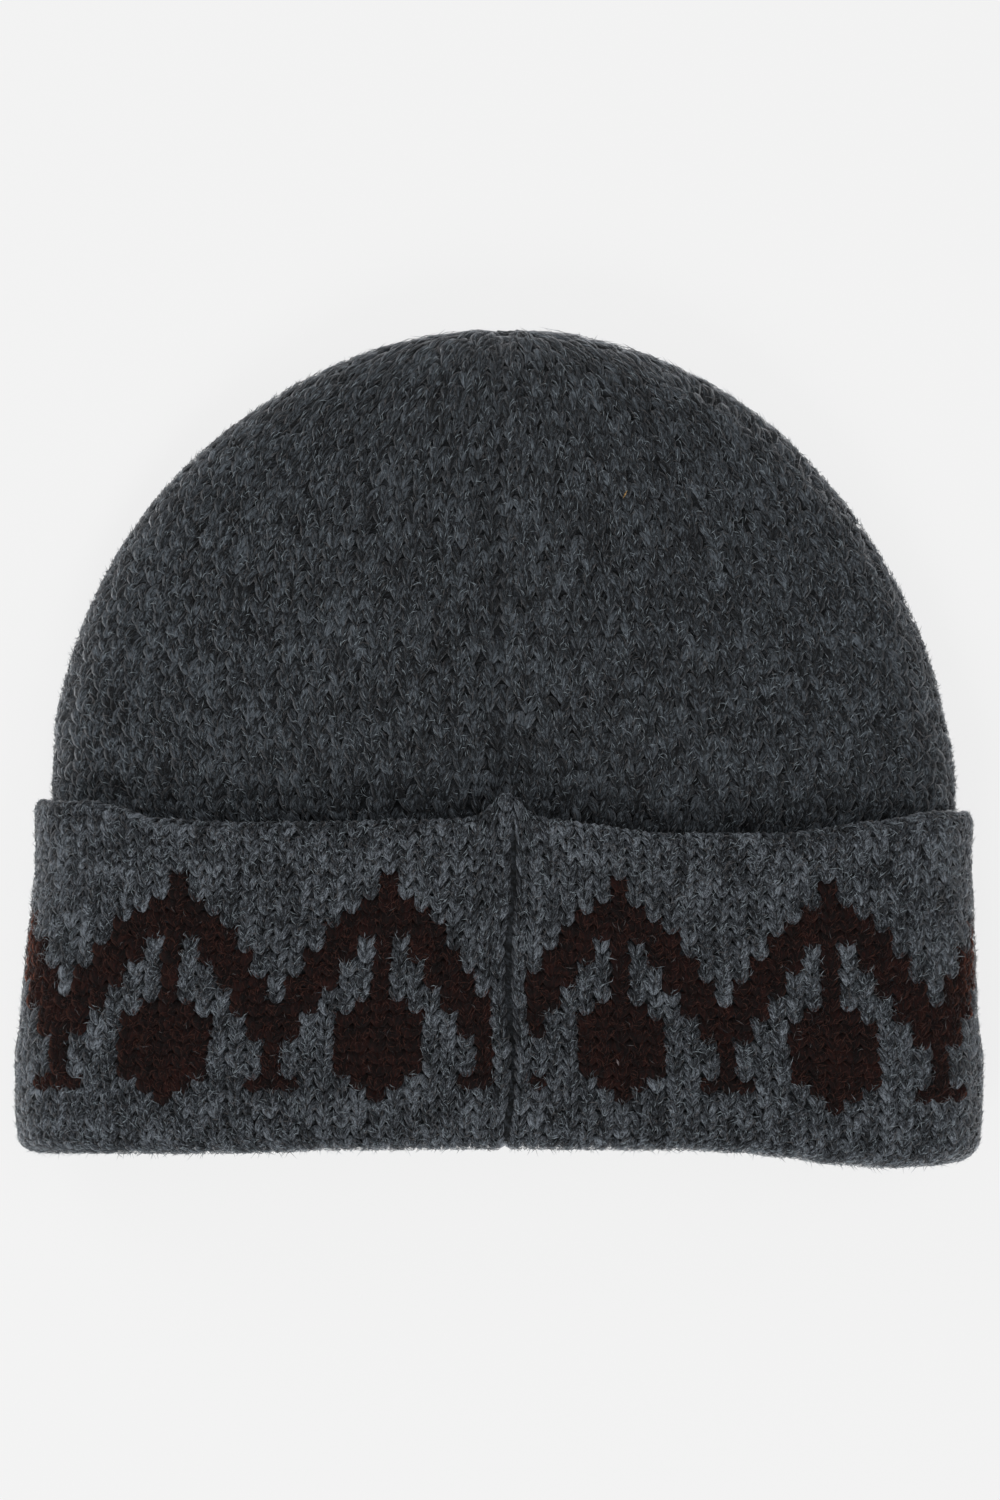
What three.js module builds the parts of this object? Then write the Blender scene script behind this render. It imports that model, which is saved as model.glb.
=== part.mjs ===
import * as THREE from 'three';

// A cuffed knit beanie that lies flat, with the back seam up. Its crown is one hollow knitted bag, and
// the cuff is the turned-up hem around its mouth, so four layers of fabric lie over each other there.
// Frame in millimetres: X across, Y from the mouth to the top of the crown, Z up from the surface.
// The origin is on the surface, under the middle of the whole hat.

// Driving dimensions
const fabricThickness = 3.6;
const layerGap = 0.8;
const seatGap = 0.3;
const cuffWidth = 240;
const cuffTopWidth = 232.4;
const cuffHeight = 84.4;
const cuffLift = 1.6;
const lipHeight = 7;
const mouthHollow = 12.5;
const crownRise = 123.4;
const crownHollow = 14;
const crownShift = 1.2;
const seamWidth = 3;
const seamFlank = 1.2;
const seamTent = 5.2;
const seamTentReach = 5;

// Shares of the driving dimensions
const domeStartShare = 0.06;
const droopStartShare = 0.08;
const droopEndShare = 0.26;
const settleShare = 0.4;
const edgeShare = 0.4;
const seamDepthShare = 0.5;
const seamTopShare = 0.3;
const seamEndTurn = 0.86;
const hemRoundShare = 0.3;
const liftStartShare = 0.72;
const shiftStartShare = 0.4;
const seamMostShare = 1 / 24;
const seamInsetShare = 1.3;
const crownSeamSpan = { from: -0.97, to: 0.84 };
const cuffSeamSpan = { from: 0.02, to: 0.97 };

// Roundness of the flattened sections: higher is flatter on top and squarer at the side folds
const sideRoundness = 2.5;
const topRoundness = 2.7;
const domeRoundness = 1.95;
const restFlatness = 1.5;

// Lines worked out from the dimensions
const hemFoldRadius = fabricThickness + layerGap / 2;
const innerDepth = fabricThickness + layerGap;
const seamDepth = seamDepthShare * fabricThickness;
const lowestY = -(cuffHeight + crownRise) / 2;
const cuffLineY = lowestY + cuffHeight;
const domeStartY = cuffLineY + domeStartShare * crownRise;
const domeRise = crownRise * (1 - domeStartShare);
const crownHalfWidth = cuffTopWidth / 2 - innerDepth;
const cuffTop = mouthHollow + 4 * fabricThickness + 2 * layerGap;
const cuffEdge = innerDepth + fabricThickness + edgeShare * mouthHollow;
const crownTop = crownHollow + 2 * fabricThickness;
const crownEdge = fabricThickness + edgeShare * crownHollow;

// Side outline of the cuff: how far the width has grown from cuffTopWidth to cuffWidth
const cuffSides = [
  { up: 0.0, flare: 0.2 },
  { up: 0.08, flare: 0.82 },
  { up: 0.18, flare: 0.97 },
  { up: 0.31, flare: 1.0 },
  { up: 0.46, flare: 0.62 },
  { up: 0.6, flare: 0.44 },
  { up: 0.76, flare: 0.18 },
  { up: 0.88, flare: -0.04 },
  { up: 1.0, flare: 0.0 },
];

// The fold at the mouth: how far it lies above its lowest point, as a share of cuffHeight
const hemLine = [
  { across: -1.0, rise: 0.042 },
  { across: -0.68, rise: 0.043 },
  { across: -0.5, rise: 0.046 },
  { across: -0.37, rise: 0.054 },
  { across: 0.0, rise: 0.057 },
  { across: 0.4, rise: 0.054 },
  { across: 0.52, rise: 0.046 },
  { across: 0.62, rise: 0.031 },
  { across: 0.72, rise: 0.012 },
  { across: 0.84, rise: 0.0 },
  { across: 0.93, rise: 0.004 },
  { across: 1.0, rise: 0.014 },
];

// The cuff's top edge: how far it waves above and below the cuff line, as a share of cuffHeight
const cuffLine = [
  { across: -1.0, rise: 0.078 },
  { across: -0.9, rise: 0.068 },
  { across: -0.84, rise: 0.045 },
  { across: -0.76, rise: 0.012 },
  { across: -0.57, rise: 0.0 },
  { across: -0.37, rise: 0.0 },
  { across: -0.2, rise: 0.009 },
  { across: 0.1, rise: 0.01 },
  { across: 0.18, rise: -0.004 },
  { across: 0.33, rise: -0.032 },
  { across: 0.6, rise: -0.032 },
  { across: 0.79, rise: 0.0 },
  { across: 0.92, rise: 0.026 },
  { across: 1.0, rise: 0.022 },
];

// Soft hollows of the upper layers: place and reach as shares of the half width and of the whole
// height, depth as a share of the fabric thickness
const hollows = [
  { across: 0.02, up: 0.68, wide: 0.09, long: 0.2, depth: 0.34 },
  { across: -0.5, up: 0.56, wide: 0.22, long: 0.12, depth: 0.25 },
  { across: 0.42, up: 0.72, wide: 0.2, long: 0.14, depth: 0.22 },
  { across: -0.28, up: 0.2, wide: 0.16, long: 0.22, depth: 0.2 },
  { across: 0.55, up: 0.3, wide: 0.14, long: 0.2, depth: 0.2 },
];

// Fineness of the faceted surfaces
const columnCount = 58;
const sectionSteps = 240;
const bendWeight = 0.7;
const foldSteps = 6;
const crownSeamSteps = 18;
const cuffSeamSteps = 10;

function smoothStep(low, high, value) {
  const share = Math.min(1, Math.max(0, (value - low) / (high - low)));
  return share * share * (3 - 2 * share);
}

function mix(low, high, share) {
  return low + (high - low) * share;
}

// A smooth reading of a table's column between its rows
function readTable(table, place, column, at) {
  const last = table.length - 1;
  const next = table.findIndex((row) => row[place] >= at);
  if (next === 0) return table[0][column];
  if (next < 0) return table[last][column];
  const from = table[next - 1];
  const to = table[next];
  return mix(from[column], to[column], smoothStep(from[place], to[place], at));
}

function hemY(across) {
  return lowestY + cuffHeight * readTable(hemLine, 'across', 'rise', across);
}

function cuffTopY(across, upper) {
  const level = cuffLineY + cuffHeight * readTable(cuffLine, 'across', 'rise', across);
  const offset = (across * cuffTopWidth) / 2;
  return level + (upper ? seamTent * Math.exp(-((offset / seamTentReach) ** 2)) : 0);
}

function centreX(y) {
  return crownShift * smoothStep(lowestY + shiftStartShare * cuffHeight, cuffLineY, y);
}

function hollowDepth(across, y) {
  const up = (y - lowestY) / (cuffHeight + crownRise);
  let depth = 0;
  for (const hollow of hollows) {
    const aside = (across - hollow.across) / hollow.wide;
    const along = (up - hollow.up) / hollow.long;
    depth += hollow.depth * fabricThickness * Math.exp(-(aside * aside) - along * along);
  }
  return depth;
}

// The cuff's section at height y: half width, and the levels of its top, side folds and bottom
function cuffSection(y) {
  const up = (y - lowestY) / cuffHeight;
  const flare = readTable(cuffSides, 'up', 'flare', up);
  const lift = cuffLift * smoothStep(liftStartShare, 1, up);
  return {
    halfWidth: mix(cuffTopWidth, cuffWidth, flare) / 2,
    top: cuffTop,
    lift,
    edge: cuffEdge,
    bottom: 0,
    narrowing: 1,
    fullness: 1,
  };
}

// The crown's section at height y: inside the cuff it is nested in the cuff's own section
function crownSection(y, turn) {
  const nested = cuffSection(Math.min(y, cuffLineY));
  const settled = smoothStep(cuffLineY, cuffLineY + settleShare * crownRise, y);
  const droopFrom = cuffLineY + droopStartShare * crownRise;
  const drooped = smoothStep(droopFrom, cuffLineY + droopEndShare * crownRise, y);
  const sine = Math.sin((turn * Math.PI) / 2);
  const cosine = Math.cos((turn * Math.PI) / 2);
  return {
    halfWidth: turn > 0 ? crownHalfWidth : nested.halfWidth - innerDepth,
    narrowing: turn > 0 ? cosine ** (2 / domeRoundness) : 1,
    top: mix(cuffTop - innerDepth, crownTop, settled),
    lift: 0,
    edge: mix(cuffEdge, crownEdge, settled),
    bottom: mix(innerDepth, 0, drooped),
    fullness: turn > 0 ? (1 - sine ** sideRoundness) ** (1 / topRoundness) : 1,
  };
}

// A point of a flattened section, at an angle round it and a depth below its outer face
function sectionPoint(section, angle, depth, y) {
  const across = Math.cos(angle);
  const puff = (1 - Math.abs(across) ** sideRoundness) ** (1 / topRoundness) * section.fullness;
  const x = centreX(y) + across * (section.halfWidth - depth) * section.narrowing;
  if (Math.sin(angle) >= 0) {
    const sunk = hollowDepth(across * section.narrowing, y) - section.lift;
    const rise = section.top - section.edge - depth - sunk;
    return new THREE.Vector3(x, y, section.edge + puff * rise);
  }
  const drop = section.edge - section.bottom - depth;
  return new THREE.Vector3(x, y, section.edge - Math.min(1, restFlatness * puff) * drop);
}

// Angles of the columns of stitches that the facets follow, from one side of the seam right round to
// the other. They are closer together where the section bends.
function columnAngles(section, y) {
  const angles = [];
  const walked = [0];
  const weighed = [0];
  const points = [];
  for (let step = 0; step <= sectionSteps; step += 1) {
    angles.push(Math.PI / 2 - (step / sectionSteps) * 2 * Math.PI);
    points.push(sectionPoint(section, angles[step], 0, y));
  }
  let heading = 0;
  for (let step = 1; step <= sectionSteps; step += 1) {
    const run = new THREE.Vector3().subVectors(points[step], points[step - 1]);
    const newHeading = Math.atan2(run.z, run.x);
    const bend = Math.abs(Math.atan2(Math.sin(newHeading - heading), Math.cos(newHeading - heading)));
    heading = newHeading;
    walked.push(walked[step - 1] + run.length());
    weighed.push(weighed[step - 1] + run.length() / cuffWidth + (bendWeight * bend) / Math.PI);
  }
  const angleAt = (measure, value) => {
    const next = Math.max(1, measure.findIndex((reached) => reached >= value));
    const share = (value - measure[next - 1]) / (measure[next] - measure[next - 1]);
    return mix(angles[next - 1], angles[next], share);
  };
  const around = walked[sectionSteps];
  const weight = weighed[sectionSteps];
  const floor = Math.min(seamWidth / 2, around * seamMostShare);
  const flank = Math.min(seamFlank, around * seamMostShare);
  const margin = (2 * (floor + flank)) / cuffWidth;
  const columns = [angleAt(walked, floor), angleAt(walked, floor + flank)];
  for (let column = 1; column < columnCount; column += 1) {
    columns.push(angleAt(weighed, mix(margin, weight - margin, column / columnCount)));
  }
  columns.push(angleAt(walked, around - floor - flank), angleAt(walked, around - floor));
  return columns;
}

// The two columns on each side of the seam that bound its groove's floor
function isGrooveFloor(column, columns) {
  return column === 0 || column === columns.length - 1;
}

// A closed surface through rings of points, with a pole or a cap at each open end
function surfaceThroughRings(rings, { wraps = false, poles = [] } = {}) {
  const size = rings[0].length;
  const positions = rings.flat().flatMap((point) => [point.x, point.y, point.z]);
  const indices = [];
  const seams = wraps ? rings.length : rings.length - 1;
  for (let ring = 0; ring < seams; ring += 1) {
    const here = ring * size;
    const there = ((ring + 1) % rings.length) * size;
    for (let column = 0; column < size; column += 1) {
      const next = (column + 1) % size;
      indices.push(here + column, here + next, there + next);
      indices.push(here + column, there + next, there + column);
    }
  }
  const lastRing = (rings.length - 1) * size;
  if (poles.length === 2) {
    const firstPole = positions.length / 3;
    positions.push(...poles[0].toArray(), ...poles[1].toArray());
    for (let column = 0; column < size; column += 1) {
      const next = (column + 1) % size;
      indices.push(firstPole, next, column);
      indices.push(firstPole + 1, lastRing + column, lastRing + next);
    }
  } else if (!wraps) {
    for (let column = 1; column < size - 1; column += 1) {
      indices.push(0, column + 1, column);
      indices.push(lastRing, lastRing + column, lastRing + column + 1);
    }
  }
  const geometry = new THREE.BufferGeometry();
  geometry.setAttribute('position', new THREE.Float32BufferAttribute(positions, 3));
  geometry.setIndex(indices);
  geometry.computeVertexNormals();
  return geometry;
}

// Crown: the hollow bag. A station is a share of the band inside the cuff (below 0) or of the quarter
// turn over the dome (above 0).
function crownY(station, across, depth) {
  const rimY = hemY(across) + hemFoldRadius + lipHeight + seatGap;
  if (station <= 0) return mix(domeStartY, rimY, -station);
  return domeStartY + (domeRise - depth) * Math.sin((station * Math.PI) / 2) ** (2 / domeRoundness);
}

function crownRing(station, depth) {
  const levelY = crownY(station, 0, depth);
  const section = crownSection(levelY, station);
  const columns = columnAngles(station > 0 ? section : cuffSection(levelY), levelY);
  const grooved = depth === 0 && station <= seamEndTurn;
  return columns.map((angle, column) => {
    const sunk = grooved && isGrooveFloor(column, columns) ? seamDepth : depth;
    const y = crownY(station, Math.cos(angle), depth);
    return sectionPoint(crownSection(y, station), angle, sunk, y);
  });
}

const crownOuterStations = [
  -1, -0.86, -0.72, -0.56, -0.4, -0.2, -0.06, 0, 0.1, 0.2, 0.3, 0.4, 0.5, 0.6, 0.7, 0.79, seamEndTurn, 0.92, 0.97,
];
const crownInnerStations = [0.95, 0.87, 0.76, 0.64, 0.5, 0.36, 0.22, 0.1, 0, -0.2, -0.6, -1];

function crownPole(depth) {
  const y = crownY(1, 0, depth);
  return new THREE.Vector3(centreX(y), y, crownSection(y, 1).edge);
}

function makeCrown() {
  const rings = [];
  for (const station of crownInnerStations) rings.push(crownRing(station, fabricThickness));
  for (const station of crownOuterStations) rings.push(crownRing(station, 0));
  return surfaceThroughRings(rings, { poles: [crownPole(fabricThickness), crownPole(0)] });
}

// Cuff: the hem turned up outside the crown's band. Its profile runs up the outer face, over the top
// edge, down the hidden face, round the narrow inner fold and the lip, and back round the outer fold.
const cuffFaceShares = [0, 0.12, 0.28, 0.44, 0.6, 0.74, 0.86, 0.95];
const hiddenFaceShares = [0.94, 0.76, 0.56, 0.38, 0.2, 0];

function cuffProfile() {
  const edgeRound = hemRoundShare * fabricThickness;
  const profile = [];
  for (const share of cuffFaceShares) profile.push({ share, shift: 0, depth: 0, outside: true });
  profile.push({ share: 1, shift: -edgeRound, depth: 0, outside: true });
  profile.push({ share: 1, shift: 0, depth: edgeRound, outside: true });
  profile.push({ share: 1, shift: 0, depth: fabricThickness - edgeRound, outside: false });
  for (const share of hiddenFaceShares) {
    profile.push({ share, shift: 0, depth: fabricThickness, outside: false });
  }
  profile.push({ share: 0, shift: -layerGap / 2, depth: hemFoldRadius, outside: false });
  profile.push({ share: 0, shift: 0, depth: innerDepth, outside: false });
  profile.push({ share: 0, shift: lipHeight, depth: innerDepth, outside: false });
  profile.push({ share: 0, shift: lipHeight, depth: 2 * hemFoldRadius, outside: false });
  for (let step = foldSteps; step > 0; step -= 1) {
    const angle = (step / foldSteps) * Math.PI;
    profile.push({
      share: 0,
      shift: -hemFoldRadius * Math.sin(angle),
      depth: hemFoldRadius * (1 - Math.cos(angle)),
      outside: true,
    });
  }
  return profile;
}

function cuffY(place, angle) {
  const across = Math.cos(angle);
  const foldY = hemY(across) + hemFoldRadius;
  return mix(foldY, cuffTopY(across, Math.sin(angle) > 0), place.share) + place.shift;
}

function cuffRing(place) {
  const levelY = mix(lowestY, cuffLineY, place.share);
  const columns = columnAngles(cuffSection(levelY), levelY);
  return columns.map((angle, column) => {
    const y = cuffY(place, angle);
    const grooved = place.outside && isGrooveFloor(column, columns);
    const depth = grooved ? Math.max(place.depth, seamDepth) : place.depth;
    return sectionPoint(cuffSection(y), angle, depth, y);
  });
}

function makeCuff() {
  return surfaceThroughRings(cuffProfile().map(cuffRing), { wraps: true });
}

// Seams: the sewn selvedges, a narrow strip that lies in the groove of each piece. A strip's ring has
// its floor at the groove's floor and its top a little below the fabric's face.
function seamRing(section, y) {
  const inset = seamInsetShare * seatGap;
  const topDepth = seamTopShare * seamDepth;
  const floorHalf = seamWidth / 2 - inset;
  const topHalf = floorHalf + seamFlank * (1 - seamTopShare);
  const corners = [
    { aside: floorHalf, depth: seamDepth - seatGap },
    { aside: -floorHalf, depth: seamDepth - seatGap },
    { aside: -topHalf, depth: topDepth },
    { aside: 0, depth: topDepth / 2 },
    { aside: topHalf, depth: topDepth },
  ];
  return corners.map(({ aside, depth }) => {
    const angle = Math.acos(aside / ((section.halfWidth - depth) * section.narrowing));
    return sectionPoint(section, angle, depth, y);
  });
}

function makeCrownSeam() {
  const rings = [];
  for (let step = 0; step <= crownSeamSteps; step += 1) {
    const station = mix(crownSeamSpan.from, crownSeamSpan.to, step / crownSeamSteps);
    const y = crownY(station, 0, 0);
    rings.push(seamRing(crownSection(y, station), y));
  }
  return surfaceThroughRings(rings);
}

function makeCuffSeam() {
  const rings = [];
  for (let step = 0; step <= cuffSeamSteps; step += 1) {
    const share = mix(cuffSeamSpan.from, cuffSeamSpan.to, step / cuffSeamSteps);
    const y = cuffY({ share, shift: 0 }, Math.PI / 2);
    rings.push(seamRing(cuffSection(y), y));
  }
  return surfaceThroughRings(rings);
}

function knitMaterial(color, roughness) {
  return new THREE.MeshStandardMaterial({ color, roughness, metalness: 0 });
}

function piece(name, geometry, material) {
  const mesh = new THREE.Mesh(geometry, material);
  mesh.name = name;
  return mesh;
}

const beanie = new THREE.Group();
beanie.add(piece('crown', makeCrown(), knitMaterial(0x303337, 0.95)));
beanie.add(piece('cuff', makeCuff(), knitMaterial(0x363a3e, 0.93)));
beanie.add(piece('crown_seam', makeCrownSeam(), knitMaterial(0x2a2d30, 0.95)));
beanie.add(piece('cuff_seam', makeCuffSeam(), knitMaterial(0x2e3134, 0.95)));

export default beanie;
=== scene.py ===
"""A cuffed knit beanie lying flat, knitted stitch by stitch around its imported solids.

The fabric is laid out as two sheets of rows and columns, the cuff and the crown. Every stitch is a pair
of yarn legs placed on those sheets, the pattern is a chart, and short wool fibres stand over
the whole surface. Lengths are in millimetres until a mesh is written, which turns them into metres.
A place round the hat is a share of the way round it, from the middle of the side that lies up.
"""

from __future__ import annotations

import logging
import math
from dataclasses import dataclass, field, replace
from enum import Enum
from typing import Callable, Iterable

import bpy
import numpy as np
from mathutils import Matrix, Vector

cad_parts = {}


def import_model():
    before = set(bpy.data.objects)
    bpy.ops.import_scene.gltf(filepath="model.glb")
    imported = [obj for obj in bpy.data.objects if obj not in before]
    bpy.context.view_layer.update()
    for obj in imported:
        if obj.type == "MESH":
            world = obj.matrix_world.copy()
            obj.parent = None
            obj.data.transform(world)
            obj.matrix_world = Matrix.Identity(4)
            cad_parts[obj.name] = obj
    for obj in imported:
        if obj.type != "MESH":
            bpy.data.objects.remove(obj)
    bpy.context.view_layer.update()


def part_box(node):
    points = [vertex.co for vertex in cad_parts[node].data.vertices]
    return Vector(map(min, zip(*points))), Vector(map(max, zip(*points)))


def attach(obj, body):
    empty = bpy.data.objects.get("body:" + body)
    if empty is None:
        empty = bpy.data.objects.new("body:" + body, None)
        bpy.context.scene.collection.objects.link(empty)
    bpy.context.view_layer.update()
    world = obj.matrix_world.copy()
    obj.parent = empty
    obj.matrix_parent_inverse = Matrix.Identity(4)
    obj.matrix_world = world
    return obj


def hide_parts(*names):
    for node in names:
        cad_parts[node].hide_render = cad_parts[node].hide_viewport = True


LOG = logging.getLogger("beanie")
MM = 0.001
BODY = "root"
BAKE_MAP = "OFBake"
SEED = 20
# Wool lower than this over the floor is pressed flat toward it.
PRESSED = 0.8
# Where the side folds lie round the hat.
SIDE_FOLD = 0.25
# Turns a display colour into a linear one.
GAMMA = 2.2
# Shorter than any real distance, where something is divided by one.
TINY = 1e-6
# Points round each row of a sheet, and how far its inner face lies under its outer one.
SHEET_COLUMNS = 720
SHEET_INSET = 1.5
SECTION_ANGLES = np.pi / 2 - np.linspace(0, 2 * np.pi, 2 * SHEET_COLUMNS + 1)

Pair = tuple[float, float]
Triple = tuple[float, float, float]
Socket = bpy.types.NodeSocket


class Face(Enum):
    """The two sides of the flattened hat."""

    BACK = "back"
    FRONT = "front"

    @property
    def leg_sides(self) -> int:
        """How many sides the yarn has there, more where the photograph shows it."""
        return 5 if self is Face.BACK else 4


class Yarn(Enum):
    """The two yarns that the cuff is knitted from."""

    GROUND = "."
    PATTERN = "#"


# One repeat of the pattern, top row first. Each mark is a stitch.
PATTERN_CHART = (
    ".....#......",
    ".....#......",
    "....###.....",
    "...#####....",
    "..#######...",
    "..##.#.##...",
    ".###.#.###..",
    ".##..#..##..",
    "###..#..###.",
    "##...#...##.",
    "##..###..###",
    "#..#####..##",
    "#..#####..##",
    "...#####...#",
    "...#####...#",
    "...#####...#",
    "#...###...##",
    ".....#......",
)


def eased(share: np.ndarray) -> np.ndarray:
    """Turns an even rise from 0 to 1 into a smooth one."""
    return share * share * (3.0 - 2.0 * share)


def smooth_step(low: float, high: float, value: np.ndarray) -> np.ndarray:
    """Returns 0 below low, 1 above high and a smooth rise between them."""
    return eased(np.clip((np.asarray(value, float) - low) / (high - low), 0.0, 1.0))


def bell(aside: np.ndarray, reach: float) -> np.ndarray:
    """Returns 1 in the middle of a bump and less to both sides of it."""
    return np.exp(-((aside / reach) ** 2))


def both_ways(around: np.ndarray) -> np.ndarray:
    """Counts a place round the hat both ways from the middle, from -0.5 to 0.5."""
    return np.mod(around + 0.5, 1.0) - 0.5


def chance(number: int) -> np.random.Generator:
    """Gives the chance for one piece, the same in every run."""
    return np.random.default_rng([SEED, number])


@dataclass(frozen=True)
class Course:
    """A short table read smoothly between its rows, such as a wavy edge.

    Attributes:
        places: where each row of the table lies.
        values: what it says there.
    """

    places: tuple[float, ...]
    values: tuple[float, ...]

    def at(self, place: np.ndarray) -> np.ndarray:
        """Reads the table with a smooth step from row to row.

        Args:
            place: where to read it.

        Returns:
            The values there, held at the ends.
        """
        places, values = np.array(self.places), np.array(self.values)
        place = np.clip(np.asarray(place, float), places[0], places[-1])
        after = np.clip(np.searchsorted(places, place), 1, len(places) - 1)
        share = (place - places[after - 1]) / (places[after] - places[after - 1])
        return values[after - 1] + (values[after] - values[after - 1]) * eased(share)


@dataclass(frozen=True)
class Hollow:
    """A soft dip in the upper layers, as shares of the half width, height and fabric thickness."""

    across: float
    up: float
    wide: float
    long: float
    depth: float


@dataclass(frozen=True)
class HatForm:
    """The sizes of the flattened hat, as the solids have them.

    Attributes:
        lowest_y: height of the fold at the mouth, at its lowest.
        top_y: height of the top of the crown.
        fabric: thickness of one layer.
        layer_gap: air between two layers that lie on each other.
        seat_gap: from the cuff's lip to the crown's rim.
        cuff_width: width of the cuff at its widest.
        cuff_top_width: its width at the top edge.
        cuff_height: from its lowest point to its top edge.
        cuff_lift: how much higher its upper face lies at the top edge.
        lip_height: how far the lip goes up inside the mouth.
        mouth_hollow: height of the room inside the mouth.
        crown_hollow: height of the room inside the crown.
        crown_shift: how far the crown lies to the right of the cuff's middle.
        seam_tent: how much higher the cuff's top edge is at the seam.
        seam_tent_reach: how wide that peak is.
        dome_start_share: how far up the crown its sides begin to close.
        droop_start_share: how far up the crown its lower side begins to come down to the floor.
        droop_end_share: how far up it has come down.
        settle_share: how far up the crown has thinned from the cuff's thickness to its own.
        edge_share: how far up the room inside the side folds lie.
        lift_start_share: how far up the cuff its lift begins.
        shift_start_share: how far up the cuff the crown's shift begins.
        side_roundness: how full a section is toward its side folds.
        top_roundness: how round it is over its top.
        dome_roundness: how round the dome's outline is.
        rest_flatness: how flat the lower side lies.
        cuff_sides: how the width goes between the cuff's two widths, up its height.
        hem_line: how far up the cuff the fold at the mouth lies, across the hat.
        cuff_line: how far above its level the top edge lies, as such a share, across the hat.
        hollows: the soft dips in the side that lies up.
    """

    lowest_y: float
    top_y: float
    fabric: float = 3.6
    layer_gap: float = 0.8
    seat_gap: float = 0.3
    cuff_width: float = 240.0
    cuff_top_width: float = 232.4
    cuff_height: float = 84.4
    cuff_lift: float = 1.6
    lip_height: float = 7.0
    mouth_hollow: float = 12.5
    crown_hollow: float = 14.0
    crown_shift: float = 1.2
    seam_tent: float = 5.2
    seam_tent_reach: float = 5.0
    dome_start_share: float = 0.06
    droop_start_share: float = 0.08
    droop_end_share: float = 0.26
    settle_share: float = 0.4
    edge_share: float = 0.4
    lift_start_share: float = 0.72
    shift_start_share: float = 0.4
    side_roundness: float = 2.5
    top_roundness: float = 2.7
    dome_roundness: float = 1.95
    rest_flatness: float = 1.5
    cuff_sides: Course = Course(
        (0.0, 0.08, 0.18, 0.31, 0.46, 0.6, 0.76, 0.88, 1.0),
        (0.2, 0.82, 0.97, 1.0, 0.62, 0.44, 0.18, -0.04, 0.0),
    )
    hem_line: Course = Course(
        (-1.0, -0.68, -0.5, -0.37, 0.0, 0.4, 0.52, 0.62, 0.72, 0.84, 0.93, 1.0),
        (0.042, 0.043, 0.046, 0.054, 0.057, 0.054, 0.046, 0.031, 0.012, 0.0, 0.004, 0.014),
    )
    cuff_line: Course = Course(
        (-1.0, -0.9, -0.84, -0.76, -0.57, -0.37, -0.2, 0.1, 0.18, 0.33, 0.6, 0.79, 0.92, 1.0),
        (0.078, 0.068, 0.045, 0.012, 0.0, 0.0, 0.009, 0.01, -0.004, -0.032, -0.032, 0.0, 0.026, 0.022),
    )
    hollows: tuple[Hollow, ...] = (
        Hollow(0.02, 0.68, 0.09, 0.2, 0.34),
        Hollow(-0.5, 0.56, 0.22, 0.12, 0.25),
        Hollow(0.42, 0.72, 0.2, 0.14, 0.22),
        Hollow(-0.28, 0.2, 0.16, 0.22, 0.2),
        Hollow(0.55, 0.3, 0.14, 0.2, 0.2),
    )

    @classmethod
    def from_frame(cls) -> "HatForm":
        """Takes the hat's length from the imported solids."""
        return cls(lowest_y=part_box("cuff")[0].y / MM, top_y=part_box("crown")[1].y / MM)

    @property
    def fold_radius(self) -> float:
        """Outer radius of the fold at the mouth."""
        return self.fabric + self.layer_gap / 2

    @property
    def inner_depth(self) -> float:
        """How far the crown's band lies below the cuff's outer face."""
        return self.fabric + self.layer_gap

    @property
    def cuff_line_y(self) -> float:
        """Height of the cuff's top edge before its waves."""
        return self.lowest_y + self.cuff_height

    @property
    def crown_rise(self) -> float:
        """From the cuff's top edge to the top of the crown."""
        return self.top_y - self.cuff_line_y

    @property
    def dome_start_y(self) -> float:
        """Where the crown's sides begin to close."""
        return self.cuff_line_y + self.dome_start_share * self.crown_rise

    @property
    def dome_rise(self) -> float:
        """From there to the top of the crown."""
        return self.top_y - self.dome_start_y

    def centre_x(self, y: np.ndarray) -> np.ndarray:
        """Middle of the hat at height y."""
        start = self.lowest_y + self.shift_start_share * self.cuff_height
        return self.crown_shift * smooth_step(start, self.cuff_line_y, y)

    def hem_y(self, across: np.ndarray) -> np.ndarray:
        """Height of the fold at the mouth."""
        return self.lowest_y + self.cuff_height * self.hem_line.at(across)

    def rim_y(self, across: np.ndarray) -> np.ndarray:
        """Height of the crown's rim inside the cuff."""
        return self.hem_y(across) + self.fold_radius + self.lip_height + self.seat_gap

    def cuff_top_y(self, across: np.ndarray, upper: np.ndarray) -> np.ndarray:
        """Height of the cuff's top edge, with the seam's little peak on the upper side."""
        peak = self.seam_tent * bell(across * self.cuff_top_width / 2, self.seam_tent_reach)
        return self.cuff_line_y + self.cuff_height * self.cuff_line.at(across) + upper * peak

    def dip(self, across: np.ndarray, y: np.ndarray) -> np.ndarray:
        """Adds up the soft hollows.

        Args:
            across: the place on the upper side, as a share of the half width.
            y: its height.

        Returns:
            How deep they are there.
        """
        up = (y - self.lowest_y) / (self.top_y - self.lowest_y)
        total = np.zeros(np.broadcast(across, y).shape)
        for hollow in self.hollows:
            aside = (across - hollow.across) / hollow.wide
            along = (up - hollow.up) / hollow.long
            total += hollow.depth * self.fabric * np.exp(-aside * aside - along * along)
        return total

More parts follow.
